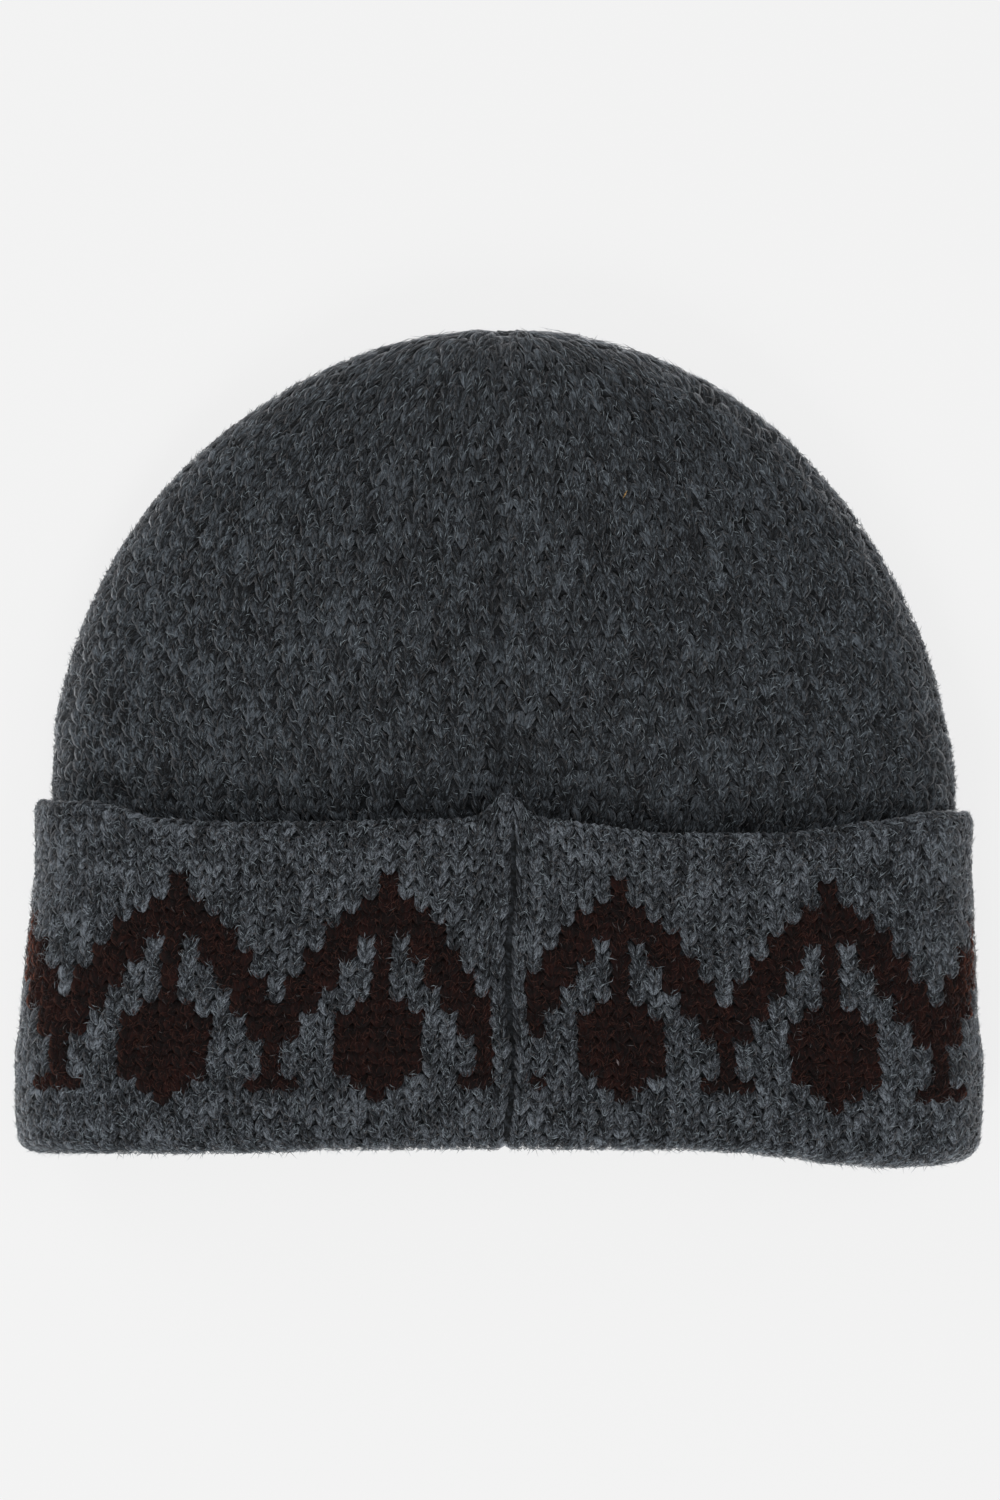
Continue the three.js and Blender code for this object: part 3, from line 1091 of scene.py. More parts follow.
@dataclass(frozen=True)
class YarnFinish:
    """A wool finish: streaks of deep, mid and light fibre along the yarn, with wisps across it.

    Attributes:
        name: the material's name.
        deep: colour between the fibres, as a display colour from 0 to 255.
        mid: the yarn's own colour.
        light: colour of its paler fibres.
        wisps: how much of the streaks comes from loose wool that lies across the stitches.
        clouds: how strongly patches of the fabric differ.
        spread: how much stitches differ from each other.
        sheen: strength of the soft halo of the loose fibres.
        rim: how much it grows where the fabric turns away.
        sheen_tint: its colour, linear.
        relief: depth of the fibres' relief.
    """

    name: str
    deep: Triple
    mid: Triple
    light: Triple
    wisps: float = 0.4
    clouds: float = 0.25
    spread: float = 0.08
    sheen: float = 0.08
    rim: float = 5.0
    sheen_tint: Triple = (0.86, 0.88, 0.92)
    relief: float = 0.45

    def make(self) -> bpy.types.Material:
        """Builds the node material.

        Returns:
            The material.
        """
        material = bpy.data.materials.new(self.name)
        material.use_nodes = True
        tree = material.node_tree
        wiring = Wiring(tree)
        yarn = wiring.attribute("yarn")
        place = tree.nodes.new("ShaderNodeNewGeometry").outputs["Position"]
        streaks, wisps = wiring.noise(yarn, PLY), wiring.noise(yarn, LOOSE_WOOL)
        mix = tree.nodes.new("ShaderNodeMix")
        wiring.fill(mix, {"Factor": self.wisps, "A": streaks, "B": wisps})
        fibres = mix.outputs["Result"]
        parts = wiring.fill(tree.nodes.new("ShaderNodeSeparateXYZ"), {"Vector": yarn})
        tone = wiring.shifted(fibres, wiring.noise(place, PATCHES), self.clouds)
        tone = wiring.shifted(tone, parts.outputs["Z"], self.spread)
        bump = tree.nodes.new("ShaderNodeBump")
        wiring.fill(bump, {"Strength": 1.0, "Distance": self.relief * MM, "Height": fibres})
        surface = {
            "Base Color": self.ramp(wiring, tone),
            "Roughness": 0.95,
            "Specular IOR Level": 0.2,
            "Sheen Weight": self.halo(wiring),
            "Sheen Roughness": 0.45,
            "Sheen Tint": (*self.sheen_tint, 1.0),
            "Normal": bump.outputs["Normal"],
        }
        wiring.fill(tree.nodes["Principled BSDF"], surface)
        return material

    def halo(self, wiring: Wiring) -> Socket:
        """Makes the sheen of the fuzz, which is seen deepest where the fabric turns away.

        Args:
            wiring: the material's nodes.

        Returns:
            Its weight.
        """
        turned = wiring.tree.nodes.new("ShaderNodeLayerWeight")
        wiring.fill(turned, {"Normal": wiring.attribute("fabric")})
        steep = wiring.sums("POWER", turned.outputs["Facing"], HALO_STEEPNESS)
        weight = wiring.sums("MULTIPLY_ADD", steep.outputs["Value"], self.rim, self.sheen)
        weight.use_clamp = True
        return weight.outputs["Value"]

    def ramp(self, wiring: Wiring, tone: Socket) -> Socket:
        """Turns a tone into the yarn's colours.

        Args:
            wiring: the material's nodes.
            tone: the tone, about 0.5.

        Returns:
            The colour.
        """
        node = wiring.fill(wiring.tree.nodes.new("ShaderNodeValToRGB"), {"Fac": tone})
        stops = node.color_ramp.elements
        stops.new(TONES[1])
        for stop, place, colour in zip(stops, TONES, (self.deep, self.mid, self.light)):
            stop.position = place
            stop.color = (*((channel / 255) ** GAMMA for channel in colour), 1.0)
        return node.outputs["Color"]


@dataclass(frozen=True)
class Palette:
    """The finishes of the whole hat."""

    crown: YarnFinish = YarnFinish(
        "crown_wool", (11, 12, 14), (32, 35, 38), (82, 88, 94), wisps=0.5, clouds=0.2, sheen=0.17, rim=7.0
    )
    cuff: YarnFinish = YarnFinish("cuff_wool", (14, 15, 17), (44, 47, 51), (111, 117, 124), wisps=0.6)
    pattern: YarnFinish = YarnFinish(
        "pattern_wool",
        (10, 4, 3),
        (20, 8, 7),
        (37, 17, 13),
        sheen=0.05,
        sheen_tint=(0.72, 0.24, 0.14),
        rim=2.0,
        relief=0.2,
    )
    backing: YarnFinish = YarnFinish("backing_wool", (14, 15, 16), (27, 29, 31), (48, 51, 55), sheen=0.05)
    pale_fibre: YarnFinish = YarnFinish(
        "pale_fibre", (60, 66, 70), (88, 95, 101), (128, 137, 143), relief=0.02, spread=0.6
    )
    dark_fibre: YarnFinish = YarnFinish(
        "dark_fibre", (18, 19, 21), (46, 47, 50), (86, 84, 84), relief=0.02, spread=0.7
    )
    brown_fibre: YarnFinish = YarnFinish(
        "brown_fibre", (15, 8, 7), (32, 18, 15), (64, 40, 33), relief=0.02, spread=0.7, sheen=0.03, rim=2.0
    )
    seam: YarnFinish = YarnFinish(
        "seam_wool", (10, 11, 12), (30, 32, 35), (66, 70, 75), sheen=0.02, rim=1.5
    )


@dataclass(frozen=True)
class Fleck:
    """One fibre of another colour.

    Attributes:
        name: the piece's name.
        x: how far it lies to the right.
        y: how far up the hat.
        heading: which way it points, in radians.
        length: how long it is.
        width: how thick it is.
        finish: its finish.
    """

    name: str
    x: float
    y: float
    heading: float
    length: float
    width: float
    finish: YarnFinish


STRAW_FLECK = Fleck(
    "straw_fleck",
    x=31.3,
    y=62.5,
    heading=1.1,
    length=2.6,
    width=0.5,
    finish=YarnFinish("straw_fleck", (116, 88, 48), (176, 142, 90), (216, 188, 138), relief=0.02),
)
PALE_FLECK = Fleck(
    "pale_fleck",
    x=29.5,
    y=-77.4,
    heading=1.9,
    length=1.7,
    width=0.8,
    finish=YarnFinish("pale_fleck", (70, 62, 62), (98, 90, 90), (128, 120, 120), relief=0.02),
)


@dataclass
class MeshParts:
    """Points, triangles and per-point values of a mesh that is being put together.

    Attributes:
        points: the points in millimetres.
        triangles: three points for each.
        grain: the place along, across and by chance in the yarn.
        layout: the flat place that finishes are baked on.
        facing: the way that the fabric looks there.
    """

    points: np.ndarray
    triangles: np.ndarray
    grain: np.ndarray
    layout: np.ndarray
    facing: np.ndarray

    def pressed(self) -> np.ndarray:
        """Presses the wool that would lie under the floor flat on it.

        Returns:
            The points.
        """
        points = self.points.copy()
        low = points[:, 2] < PRESSED
        points[low, 2] = PRESSED * np.exp(points[low, 2] / PRESSED - 1)
        return points


def put_in_scene(name: str, data: bpy.types.ID, place: Triple = (0.0, 0.0, 0.0)) -> bpy.types.Object:
    """Makes an object and shows it.

    Args:
        name: its name.
        data: its mesh, lamp or camera.
        place: where it is, in metres.

    Returns:
        The object.
    """
    shown = bpy.data.objects.new(name, data)
    shown.location = place
    bpy.context.scene.collection.objects.link(shown)
    return shown


def write_mesh(name: str, parts: MeshParts, material: bpy.types.Material) -> bpy.types.Object:
    """Makes a smooth-shaded mesh object in metres.

    Args:
        name: the piece's name.
        parts: its points in millimetres, triangles, yarn coordinates and flat layout.
        material: its finish.

    Returns:
        The object.
    """
    mesh = bpy.data.meshes.new(name)
    count = len(parts.triangles)
    mesh.vertices.add(len(parts.points))
    mesh.vertices.foreach_set("co", (parts.pressed() * MM).astype(np.float32).ravel())
    mesh.loops.add(count * 3)
    mesh.loops.foreach_set("vertex_index", parts.triangles.astype(np.int32).ravel())
    mesh.polygons.add(count)
    mesh.polygons.foreach_set("loop_start", np.arange(0, count * 3, 3, dtype=np.int32))
    mesh.polygons.foreach_set("use_smooth", np.ones(count, dtype=bool))
    mesh.update(calc_edges=True)
    for label, vectors in (("yarn", parts.grain), ("fabric", parts.facing)):
        attribute = mesh.attributes.new(label, "FLOAT_VECTOR", "POINT")
        attribute.data.foreach_set("vector", vectors.astype(np.float32).ravel())
    layout = mesh.uv_layers.new(name=BAKE_MAP)
    layout.data.foreach_set("uv", parts.layout[parts.triangles.ravel()].astype(np.float32).ravel())
    mesh.materials.append(material)
    mesh.validate()
    return put_in_scene(name, mesh)


def cell_layout(count: int, across: int, down: int, local: np.ndarray) -> np.ndarray:
    """Gives each strand a small cell of its own in the flat layout that finishes are baked on.

    Args:
        count: how many strands there are.
        across: cells in a row of the layout.
        down: rows of cells.
        local: the places of a strand's points in its cell.

    Returns:
        Flat places from 0 to 1, one for each point of the mesh.
    """
    number = np.arange(count)
    u = (number % across)[:, None] + local[:, 0]
    v = (number // across)[:, None] + local[:, 1]
    return np.stack([u / across, v / down], axis=-1).reshape(-1, 2)


@dataclass(frozen=True)
class StitchLeg:
    """The shape of one leg of a stitch, a leaf of yarn that leans away from the stitch's middle.

    Attributes:
        stations: shares along the leg where it has a ring of points, without its two tips.
        widths: how wide it is there, as a share of its widest.
        heights: how far it stands above the fabric there, in millimetres.
        tip_heights: how far its two tips do.
        foot_aside: how far its foot is from the stitch's middle, in stitches.
        lean: how much farther its head is.
        foot: where its foot is, in rows.
        length: how many rows it spans.
        half_width: how wide it is, in stitches.
        half_thickness: how thick it is, in millimetres.
        skew: how far its rings are turned down at their outer side, in rows.
        sides: how many sides it has.
    """

    stations: tuple[float, ...] = (0.1, 0.33, 0.62, 0.9)
    widths: tuple[float, ...] = (0.32, 0.74, 1.02, 0.86)
    heights: tuple[float, ...] = (0.3, 0.68, 0.44, -0.1)
    tip_heights: Pair = (0.0, -0.55)
    foot_aside: float = 0.03
    lean: float = 0.4
    foot: float = -0.38
    length: float = 1.54
    half_width: float = 0.25
    half_thickness: float = 0.72
    skew: float = 0.06
    sides: int = 5

    def template(self) -> tuple[np.ndarray, np.ndarray, np.ndarray]:
        """Makes the leg's points and triangles.

        Returns:
            Points as columns aside, rows up and millimetres out; triangles; shares along the leg.
        """
        points = [(self.foot_aside, self.foot, self.tip_heights[0])]
        turns = np.pi / 2 + np.arange(self.sides) * 2 * np.pi / self.sides
        for along, width, height in zip(self.stations, self.widths, self.heights):
            thick = self.half_thickness * (0.5 + 0.5 * width)
            for turn in turns:
                aside = self.foot_aside + self.lean * along + self.half_width * width * math.cos(turn)
                up = self.foot + self.length * along - self.skew * math.cos(turn)
                points.append((aside, up, height + thick * math.sin(turn)))
        points.append((self.foot_aside + self.lean, self.foot + self.length, self.tip_heights[1]))
        shares = np.concatenate([[0.0], np.repeat(self.stations, self.sides), [1.0]])
        last = len(points) - 1
        top = last - self.sides
        faces = []
        for side in range(self.sides):
            after = (side + 1) % self.sides
            faces.append((0, 1 + after, 1 + side))
            for here in range(1, top, self.sides):
                there = here + self.sides
                faces.append((here + side, here + after, there + after))
                faces.append((here + side, there + after, there + side))
            faces.append((last, top + side, top + after))
        return np.array(points), np.array(faces), shares


@dataclass
class StitchMaker:
    """Turns a list of stitches into one joined mesh of yarn legs.

    Attributes:
        layer: the fabric that they belong to.
        leg: the shape of a leg.
        rng: the chance that varies them.
        looseness: how far stitches stray from the even grid, in stitches and rows.
        lean_spread: how much the legs' lean varies.
        thickness_spread: how much the yarn's thickness varies.
        height_spread: how much their height varies.
        sunk: how far they all lie below their usual place.
    """

    layer: KnitLayer
    leg: StitchLeg
    rng: np.random.Generator
    looseness: float = 0.05
    lean_spread: float = 0.08
    thickness_spread: float = 0.09
    height_spread: float = 0.07
    sunk: float = 0.0

    def build(self, columns: np.ndarray, rows: np.ndarray) -> MeshParts:
        """Lays both legs of every stitch on the fabric.

        Args:
            columns: the stitches' columns.
            rows: their rows.

        Returns:
            The mesh data.
        """
        points, faces, shares = self.leg.template()
        count = len(columns)
        stray = self.rng.normal(0, self.looseness, (count, 2))
        spine = self.leg.foot_aside + self.leg.lean * shares
        across = points[:, 0] - spine
        home_column, home_row = np.broadcast_arrays(columns[:, None], rows[:, None], across)[:2]
        legs = []
        for side in (1.0, -1.0):
            lean = 1 + self.rng.normal(0, self.lean_spread, count)
            fat = 1 + self.rng.normal(0, self.thickness_spread, count)
            sink = self.rng.normal(0, self.height_spread, count) - self.sunk
            aside = spine * lean[:, None] + across * fat[:, None]
            column = columns[:, None] + 0.5 + stray[:, :1] + side * aside
            row = rows[:, None] + stray[:, 1:] + points[:, 1]
            height = points[:, 2] * fat[:, None] + sink[:, None]
            legs.append(self.layer.points(column, row, height, home_column, home_row))
        offsets = (np.arange(2 * count) * len(points))[:, None, None]
        triangles = np.concatenate([faces + offsets[:count], faces[:, ::-1] + offsets[count:]])
        grain = np.empty((2 * count, len(points), 3))
        grain[:, :, 0] = shares
        grain[:, :, 1] = across / self.leg.half_width
        grain[:, :, 2] = self.rng.random(2 * count)[:, None]
        cells = math.ceil(math.sqrt(2 * count / 3))
        aside = np.clip(across / self.leg.half_width, -1, 1)
        local = np.stack([0.5 + 0.45 * aside, 0.05 + 0.9 * shares], axis=1)
        layout = cell_layout(2 * count, cells, math.ceil(2 * count / cells), local)
        facing = self.layer.sheet.facing(self.layer.around(columns + 0.5, rows, rows), rows)
        return MeshParts(
            np.concatenate(legs).reshape(-1, 3),
            triangles.reshape(-1, 3),
            grain.reshape(-1, 3),
            layout,
            np.tile(facing[:, None, :], (2, len(points), 1)).reshape(-1, 3),
        )


def shell_mesh(layer: KnitLayer, profile: list[Pair], columns: int) -> MeshParts:
    """Makes a closed wall of fabric that lies under the stitches.

    Args:
        layer: the fabric it backs.
        profile: rows and depths round its section, from the outside over to the inside and back.
        columns: how many columns of points go round it.

    Returns:
        The mesh data.
    """
    thinnest = 0.05
    count = len(profile)
    rows, depths = np.array(profile).T
    row_grid, around = np.meshgrid(rows, np.arange(columns) / columns, indexing="ij")
    fabric = layer.form.fabric
    outside = np.clip((fabric - depths) / (fabric - layer.base_depth), 0, 1)[:, None]
    depth = depths[:, None] + layer.relief(around, row_grid) * outside
    placed = layer.sheet.at(around, row_grid, np.minimum(depth, fabric - thinnest * outside))
    ring, column = np.meshgrid(np.arange(count), np.arange(columns), indexing="ij")
    here, there = ring * columns, (ring + 1) % count * columns
    after = (column + 1) % columns
    corners = (here + column, here + after, there + after, there + column)
    halves = [np.stack([corners[corner] for corner in half], axis=-1) for half in ((0, 1, 2), (0, 2, 3))]
    stitches = around * layer.sheet.girth_at(row_grid) / layer.wale
    grain = np.stack([row_grid, stitches, np.full(around.shape, 0.5)], axis=-1)
    return MeshParts(
        placed.reshape(-1, 3),
        np.concatenate(halves).reshape(-1, 3),
        grain.reshape(-1, 3),
        np.stack([around, ring / count], axis=-1).reshape(-1, 2),
        layer.sheet.facing(around, row_grid).reshape(-1, 3),
    )


@dataclass
class FibreMaker:
    """Stands short curled wool fibres on a fabric's face.

    Attributes:
        layer: the fabric that they stand on.
        rng: the chance that places them.
        width: thickness of a fibre.
        lengths: shortest and longest.
        lean: how far they lean with the legs of the stitches, in radians.
        disorder: how far they stray from that.
        curl: how much they bend.
        lifted: the share of them with a loose end.
        rise: how far those ends stand off the fabric.
        buried: how far below the yarn's face a fibre of no height lies.
        buried_spread: how much farther the deepest lie.
        heights: how high a fibre's start and middle are.
        loose_ends: lowest and highest loose end, as shares of the rise.
        bound_ends: lowest and highest end of the others.
        foot_rows: how far below a row's stitches their yarn still shows.
        upper_share: the share of them on the side that faces up.
        upper_reach: how far round from the middle that side goes.
        seam_gap: how far they keep from the seam.
        fold_share: the share of them that stand along the side folds.
        fold_spread: how far round from the folds those stray.
        fold_disorder: how far those stray from the lean.
    """

    layer: KnitLayer
    rng: np.random.Generator
    width: float = 0.17
    lengths: Pair = (1.3, 3.3)
    lean: float = 0.5
    disorder: float = 0.5
    curl: float = 0.5
    lifted: float = 0.15
    rise: float = 0.9
    buried: float = 1.2
    buried_spread: float = 0.35
    heights: Pair = (-0.6, 0.1)
    loose_ends: Pair = (0.3, 1.0)
    bound_ends: Pair = (-0.7, 0.0)
    foot_rows: float = 0.2
    upper_share: float = 0.84
    upper_reach: float = 0.26
    seam_gap: float = 1.6
    fold_share: float = 0.0
    fold_spread: float = 0.012
    fold_disorder: float = 1.3

    def build(self, count: int, rows: Pair, over: Yarn | None = None) -> MeshParts:
        """Scatters fibres over a range of rows.

        Args:
            count: how many are tried.
            rows: the lowest and highest row.
            over: the yarn that they may stand on, or None for any.

        Returns:
            The mesh data.
        """
        rng, layer = self.rng, self.layer
        row, around, at_fold = self.scatter(count, rows)
        column = layer.column_at(around, row)
        if over is not None:
            stitches = zip(column, np.floor(row - self.foot_rows))
            under = [layer.yarn_at(int(place), int(level)) is over for place, level in stitches]
            row, around, column, at_fold = row[under], around[under], column[under], at_fold[under]
        count = len(row)
        length = rng.uniform(*self.lengths, count)
        side = np.where(np.mod(column, 1.0) > 0.5, 1.0, -1.0)
        disorder = np.where(at_fold, self.fold_disorder, self.disorder)
        heading = np.pi / 2 - side * self.lean + rng.normal(0, 1, count) * disorder
        curl = rng.normal(0, self.curl, count)
        low = rng.uniform(0.0, self.buried_spread, count)
        lifted = rng.random(count) < self.lifted
        loose = rng.uniform(*self.loose_ends, count) * self.rise
        ends = np.where(lifted, loose, rng.uniform(*self.bound_ends, count))
        girth = layer.sheet.girth_at(row)
        direction = heading[:, None] + curl[:, None] * np.array([-1.0, 0.0, 1.0])
        steps = np.cumsum(np.stack([np.cos(direction), np.sin(direction)], axis=-1), axis=1)
        steps = (steps - steps[:, 1:2]) * (length / 2)[:, None, None]
        centres = []
        for index, height in enumerate((*self.heights, ends)):
            place = around + steps[:, index, 0] / girth
            level = row + steps[:, index, 1] / layer.course
            depth = layer.face_depth - self.buried - low - height + layer.relief(place, level)
            centres.append(layer.sheet.at(place, level, depth))
        return self.strands(np.stack(centres, axis=1), layer.sheet.facing(around, row))

    def scatter(self, count: int, rows: Pair) -> tuple[np.ndarray, np.ndarray, np.ndarray]:
        """Picks places so that every patch of a side gets as many fibres as any other.

        Args:
            count: how many are tried.
            rows: the lowest and highest row.

        Returns:
            Their rows, their places round the hat and whether they stand along a side fold.
        """
        rng = self.rng
        levels = np.linspace(*rows, 200)
        weight = np.cumsum(self.layer.sheet.girth_at(levels))
        row = np.interp(rng.random(count) * weight[-1], weight, levels)
        upper = rng.random(count) < self.upper_share
        reach = self.upper_reach
        around = np.where(upper, rng.uniform(-reach, reach, count), rng.uniform(reach, 1 - reach, count))
        at_fold = rng.random(count) < self.fold_share
        fold = rng.choice([-SIDE_FOLD, SIDE_FOLD], count) + rng.normal(0, self.fold_spread, count)
        around = np.where(at_fold, fold, around)
        clear = np.abs(self.layer.seam_aside(around, row)) > self.seam_gap
        return row[clear], around[clear], at_fold[clear]

    def single(self, fleck: Fleck) -> MeshParts:
        """Lays one fibre on the face that lies up.

        Args:
            fleck: where it lies and how.

        Returns:
            The mesh data.
        """
        upper_z, far, above_face = 12.0, 1000.0, 0.5
        outer = self.layer.sheet.outer
        aside = np.hypot(outer[..., 0] - fleck.x, outer[..., 1] - fleck.y)
        nearest = np.argmin(aside + far * (outer[..., 2] < upper_z))
        place = outer[np.unravel_index(nearest, aside.shape)] + (0.0, 0.0, above_face)
        reach = fleck.length / 2 * np.array([math.cos(fleck.heading), math.sin(fleck.heading), 0.0])
        return self.strands(np.array([[place - reach, place, place + reach]]), np.array([[0.0, 0.0, 1.0]]))

    def strands(self, centres: np.ndarray, facing: np.ndarray) -> MeshParts:
        """Gives each fibre a three-sided waist between its two tips.

        Args:
            centres: the start, middle and end of each fibre.
            facing: the way that the fabric looks under each.

        Returns:
            The mesh data.
        """
        count = len(centres)
        along = centres[:, 2] - centres[:, 0]
        along /= np.maximum(np.linalg.norm(along, axis=1, keepdims=True), TINY)
        spare = np.where(np.abs(along[:, 2:]) < 0.9, [[0.0, 0.0, 1.0]], [[1.0, 0.0, 0.0]])
        side = np.cross(along, spare)
        side /= np.linalg.norm(side, axis=1, keepdims=True)
        other = np.cross(along, side)
        points = [centres[:, 0]]
        for turn in range(3):
            angle = turn * 2 * np.pi / 3
            out = math.cos(angle) * side + math.sin(angle) * other
            points.append(centres[:, 1] + self.width / 2 * out)
        points.append(centres[:, 2])
        faces = np.array([(0, 2, 1), (0, 3, 2), (0, 1, 3), (4, 1, 2), (4, 2, 3), (4, 3, 1)])
        triangles = faces + (np.arange(count) * len(points))[:, None, None]
        grain = np.zeros((count, len(points), 3))
        grain[:, :, 0] = (0.0, 0.5, 0.5, 0.5, 1.0)
        grain[:, :, 2] = self.rng.random(count)[:, None]
        cells = math.ceil(math.sqrt(count))
        local = np.array([(0.1, 0.5), (0.3, 0.2), (0.5, 0.8), (0.7, 0.5), (0.9, 0.5)])
        return MeshParts(
            np.stack(points, axis=1).reshape(-1, 3),
            triangles.reshape(-1, 3),
            grain.reshape(-1, 3),
            cell_layout(count, cells, cells, local),
            np.repeat(facing, len(points), axis=0),
        )


@dataclass
class Part:
    """One sub-assembly of the hat.

    Attributes:
        layer: its fabric.
        palette: the finishes.
        made: the pieces made so far.
        backing_columns: columns of points round its backing.
    """

    layer: KnitLayer
    palette: Palette
    made: list[bpy.types.Object] = field(default_factory=list)
    backing_columns: int = 120

    def add(self, name: str, parts: MeshParts, finish: YarnFinish, slot: str) -> bpy.types.Object:
        """Writes a piece and ties it to the hat's body.

        Args:
            name: the piece's name.
            parts: its mesh data.
            finish: its finish.
            slot: the record's material slot, which is not used.

        Returns:
            The piece.
        """
        material = bpy.data.materials.get(finish.name) or finish.make()
        piece = write_mesh(name, parts, material)
        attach(piece, BODY)
        self.made.append(piece)
        return piece

    def add_fleck(self, fleck: Fleck, slot: str) -> None:
        """Lays down an odd fibre of another colour that was spun in."""
        maker = FibreMaker(self.layer, chance(len(fleck.name)), width=fleck.width)
        self.add(fleck.name, maker.single(fleck), fleck.finish, slot)


@dataclass
class Cuff(Part):
    """The turned-up hem with its knitted-in pattern.

    Attributes:
        first_row: the lowest row of stitches, inside the lip.
        side_columns: how many columns past the side fold the stitches of the upper face go on.
        fibre_rows: the lowest row of loose wool.
        hem_rows: the rows at the fold that have more of it.
    """

    first_row: int = -4
    side_columns: int = 3
    fibre_rows: float = -1.5
    hem_rows: Pair = (-1.2, 1.4)

    def build(self) -> None:
        """Makes the backing, the stitches of both yarns and the loose wool."""
        self.add_backing()
        self.add_stitches()
        self.add_fibres()
        self.add_fleck(PALE_FLECK, "cuff_knit")

    def add_backing(self) -> None:
        """The fabric's inside, which closes the form under the stitches."""
        layer = self.layer
        outer, inner = layer.base_depth, layer.form.fabric
        fold, top, end = layer.fold_rows, layer.top_row, layer.last_row
        profile = []
        for rows, depth in (
            (np.linspace(fold, top - 0.7, 50), outer),
            (np.linspace(top - 0.5, end, 5), outer),
            (np.linspace(top - 1, fold, 40), inner),
            ((1.0, 0.0, -1.0, -2.0, -3.2, -4.4), inner),
            ((-4.4, -3.2), outer),
            (np.linspace(-2.0, fold - 0.25, 16), outer),
        ):
            profile += [(row, depth) for row in rows]
        parts = shell_mesh(layer, profile, self.backing_columns)
        piece = self.add("cuff_backing", parts, self.palette.backing, "cuff_knit")
        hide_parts("cuff")

    def add_stitches(self) -> None:
        """Every stitch of the cuff, in its own yarn by the chart."""
        plain, wide = StitchLeg(), StitchLeg(half_width=0.38, half_thickness=0.55)
        for yarn, name, leg, finish, slot in (
            (Yarn.GROUND, "cuff_stitches", plain, self.palette.cuff, "cuff_knit"),
            (Yarn.PATTERN, "pattern_stitches", wide, self.palette.pattern, "pattern_yarn"),
        ):
            for side in Face:
                places = np.array(self.places_of(yarn, side), float)
                maker = StitchMaker(self.layer, replace(leg, sides=side.leg_sides), chance(len(places)))
                self.add(f"{name}_{side.value}", maker.build(places[:, 0], places[:, 1]), finish, slot)

    def places_of(self, yarn: Yarn, side: Face) -> list[tuple[int, int]]:
        """Lists the stitches of one yarn on one face.

        Args:
            yarn: the yarn.
            side: the face.

        Returns:
            Their columns and rows.
        """
        layer = self.layer
        places = []
        for row in range(self.first_row, int(layer.top_row) + 1):
            for column in range(layer.stitches_in(row)):
                from_seam = min(column, layer.columns - 1 - column)
                here = Face.BACK if from_seam < layer.columns // 4 + self.side_columns else Face.FRONT
                if here is side and layer.yarn_at(column, row) is yarn:
                    places.append((column, row))
        return places

    def add_fibres(self) -> None:
        """Loose wool over the cuff."""
        whole, hem = (self.fibre_rows, self.layer.top_row), self.hem_rows
        pale, dark, brown = self.palette.pale_fibre, self.palette.dark_fibre, self.palette.brown_fibre
        for name, count, rows, rise, fold_share, finish, over, slot in (
            ("cuff_pale_fibres", 18000, whole, 1.1, 0.14, pale, Yarn.GROUND, "cuff_knit"),
            ("cuff_dark_fibres", 12000, whole, 1.1, 0.08, dark, Yarn.GROUND, "cuff_knit"),
            ("hem_fibres", 2500, hem, 2.0, 0.0, pale, Yarn.GROUND, "cuff_knit"),
            ("pattern_fibres", 34000, whole, 1.1, 0.05, brown, Yarn.PATTERN, "pattern_yarn"),
            ("stray_fibres", 1000, whole, 1.1, 0.0, dark, Yarn.PATTERN, "cuff_knit"),
        ):
            rng = chance(len(name))
            maker = FibreMaker(self.layer, rng, disorder=0.7, curl=0.6, rise=rise, fold_share=fold_share)
            self.add(name, maker.build(count, rows, over), finish, slot)


@dataclass
class Crown(Part):
    """The hollow bag above the cuff.

    Attributes:
        hidden_rows: the lowest row of stitches, tucked into the cuff.
    """

    hidden_rows: int = -1

    def build(self) -> None:
        """Makes the backing, the stitches of both faces and the loose wool."""
        self.add_backing()
        self.add_stitches()
        self.add_fibres()

    def add_backing(self) -> None:
        """The fabric's inside, which closes the form under the stitches."""
        layer = self.layer
        steps = np.linspace(layer.sheet.first_row, layer.last_row + 0.1, 52)
        profile = [(row, layer.base_depth) for row in steps]
        profile += [(row, layer.form.fabric) for row in steps[::-1]]
        parts = shell_mesh(layer, profile, self.backing_columns)
        piece = self.add("crown_backing", parts, self.palette.backing, "crown_knit")
        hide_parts("crown")

    def add_stitches(self) -> None:
        """Every stitch that shows, the upper face and the under face as a piece each."""
        layer = self.layer
        places = {Face.BACK: [], Face.FRONT: []}
        for row in range(self.hidden_rows, layer.last_row + 1):
            half = layer.stitches_in(row) // 2
            for column in range(-half, half):
                side = Face.BACK if abs(column + 0.5) < half / 2 + 1 else Face.FRONT
                places[side].append((column, row))
        shape = StitchLeg(foot=-0.52, length=1.7, half_width=0.3, half_thickness=0.8)
        for side, wanted in places.items():
            leg = replace(shape, sides=side.leg_sides)
            maker = StitchMaker(layer, leg, chance(len(wanted)), looseness=0.13, lean_spread=0.3)
            spots = np.array(wanted, float)
            parts = maker.build(spots[:, 0], spots[:, 1])
            self.add(f"crown_stitches_{side.value}", parts, self.palette.crown, "crown_knit")

    def add_fibres(self) -> None:
        """Loose wool over the crown."""
        rows = (self.hidden_rows + 1.0, self.layer.last_row - 0.5)
        wool = {"lengths": (1.2, 2.7), "disorder": 0.6, "curl": 0.3, "lifted": 0.25, "rise": 1.3}
        for name, count, finish in (
            ("crown_pale_fibres", 15500, self.palette.pale_fibre),
            ("crown_dark_fibres", 10000, self.palette.dark_fibre),
        ):
            maker = FibreMaker(self.layer, chance(len(name)), fold_share=0.16, **wool)
            self.add(name, maker.build(count, rows), finish, "crown_knit")
        self.add_fleck(STRAW_FLECK, "crown_knit")


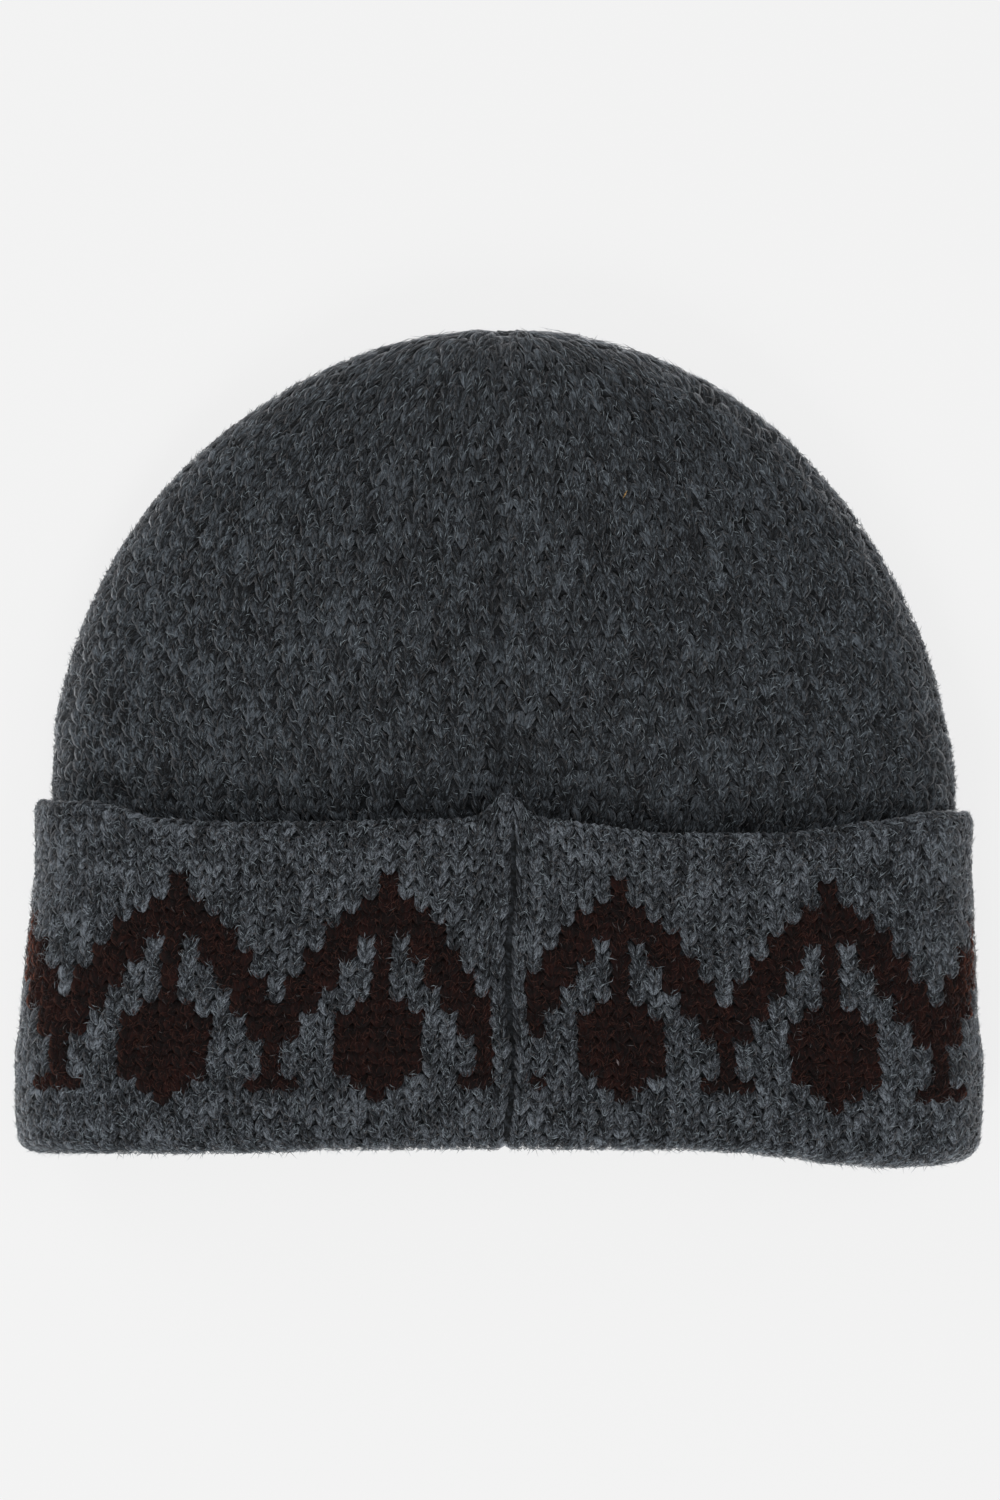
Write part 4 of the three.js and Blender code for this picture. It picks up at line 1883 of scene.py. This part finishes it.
@dataclass
class Seams:
    """The two lines where the back seam is sewn, as slanted stitches at the bottom of the furrow.

    Attributes:
        cuff: the part that the lower line runs on.
        crown: the part that the upper line runs on.
        leg: the shape of a sewn stitch.
    """

    cuff: Cuff
    crown: Crown
    leg: StitchLeg = StitchLeg(foot_aside=-0.02, lean=0.05, half_width=0.16, half_thickness=0.5, length=1.3)

    def build(self) -> None:
        """Makes both lines."""
        self.add_line(self.crown, "crown_seam", (-17.0, self.crown.layer.last_row - 4.0), 0.62)
        self.add_line(self.cuff, "cuff_seam", (0.0, self.cuff.layer.top_row - 0.6), 0.45)

    def add_line(self, part: Part, node: str, rows: Pair, step: float) -> None:
        """Lays slanted stitches along the furrow.

        Args:
            part: the part that the line runs on.
            node: the CAD node that it stands for.
            rows: its first and last row.
            step: rows from one stitch to the next.
        """
        spots = np.arange(*rows, step)
        maker = StitchMaker(part.layer, self.leg, chance(len(node)), looseness=0.03, sunk=0.9)
        parts = maker.build(np.full(len(spots), -0.5), spots)
        piece = part.add(f"{node}_yarn", parts, part.palette.seam, "seam_yarn")
        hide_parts(node)


@dataclass(frozen=True)
class Lamp:
    """A large soft lamp that points at the hat, in metres and watts."""

    name: str
    place: Triple
    size: float
    power: float
    aim: Triple = (0.0, 0.0, 0.01)

    def light(self) -> None:
        """Puts it in the scene."""
        lamp = bpy.data.lights.new(self.name, "AREA")
        lamp.shape = "DISK"
        lamp.size = self.size
        lamp.energy = self.power
        holder = put_in_scene(self.name, lamp, self.place)
        way = Vector(self.aim) - Vector(self.place)
        holder.rotation_euler = way.to_track_quat("-Z", "Y").to_euler()


@dataclass(frozen=True)
class Studio:
    """Pale floor, soft light and a camera straight above, in metres.

    Attributes:
        view_height: the height of the photograph's frame at the hat.
        distance: from the camera to the hat's middle height.
        level: that height.
        aim: the point below the camera.
        film: the height of the camera's film, in millimetres.
        lamps: the lights.
        daylight: strength of the even light from all around.
        floor_half: half the floor's width.
        floor_drop: how far it lies under the hat.
        floor_grey: how much of the light it gives back.
        floor_glow: how much it shines by itself, so that it shows only a faint shadow.
    """

    view_height: float = 0.372
    distance: float = 1.6
    level: float = 0.014
    aim: Pair = (0.00025, -0.00074)
    film: float = 36.0
    lamps: tuple[Lamp, ...] = (
        Lamp("key", (-0.35, -1.5, 0.98), 0.8, 24.0),
        Lamp("fill", (-1.2, 1.1, 0.5), 1.0, 17.0),
        Lamp("side", (1.1, 0.3, 1.2), 1.0, 7.0),
    )
    daylight: float = 0.45
    floor_half: float = 4.0
    floor_drop: float = 0.0002
    floor_grey: float = 0.05
    floor_glow: float = 0.82

    def build(self) -> None:
        """Makes the floor, the lights, the world and the camera."""
        self.make_floor()
        for lamp in self.lamps:
            lamp.light()
        self.make_world()
        self.make_camera()
        scene = bpy.context.scene
        scene.view_settings.view_transform = "Standard"
        scene.view_settings.look = "None"

    def make_floor(self) -> bpy.types.Object:
        """Lays a pale sheet of paper.

        Returns:
            The floor.
        """
        half, grey = self.floor_half, self.floor_grey
        mesh = bpy.data.meshes.new("floor")
        corners = [(-half, -half, 0), (half, -half, 0), (half, half, 0), (-half, half, 0)]
        mesh.from_pydata(corners, [], [(0, 1, 2, 3)])
        material = bpy.data.materials.new("paper")
        material.use_nodes = True
        surface = {
            "Base Color": (grey, grey, grey, 1.0),
            "Roughness": 1.0,
            "Emission Color": (1.0, 1.0, 1.0, 1.0),
            "Emission Strength": self.floor_glow,
        }
        Wiring(material.node_tree).fill(material.node_tree.nodes["Principled BSDF"], surface)
        mesh.materials.append(material)
        return put_in_scene("floor", mesh, (0.0, 0.0, -self.floor_drop))

    def make_world(self) -> None:
        """Even pale light from all around."""
        world = bpy.data.worlds.new("studio")
        world.use_nodes = True
        background = world.node_tree.nodes["Background"]
        background.inputs["Color"].default_value = (1.0, 1.0, 1.0, 1.0)
        background.inputs["Strength"].default_value = self.daylight
        bpy.context.scene.world = world

    def make_camera(self) -> None:
        """A camera that looks straight down, framed as the photograph is."""
        lens = bpy.data.cameras.new("camera")
        lens.sensor_fit = "VERTICAL"
        lens.sensor_height = self.film
        lens.lens = self.film * self.distance / self.view_height
        lens.clip_start = 0.05
        lens.clip_end = 20.0
        bpy.context.scene.camera = put_in_scene("camera", lens, (*self.aim, self.distance + self.level))


def report(parts: Iterable[Part]) -> None:
    """Logs what each piece of each part holds."""
    for part in parts:
        for piece in part.made:
            LOG.info("%s %s: %d triangles", type(part).__name__, piece.name, len(piece.data.polygons))


def main() -> None:
    """Builds the hat and the studio round it."""
    logging.basicConfig(level=logging.INFO, format="%(name)s: %(message)s")
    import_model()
    form = HatForm.from_frame()
    palette = Palette()
    cuff = Cuff(CuffLayer(form), palette)
    cuff.build()
    crown = Crown(CrownLayer(form), palette)
    crown.build()
    Seams(cuff, crown).build()
    Studio().build()
    report((cuff, crown))


if __name__ == "__main__":
    main()
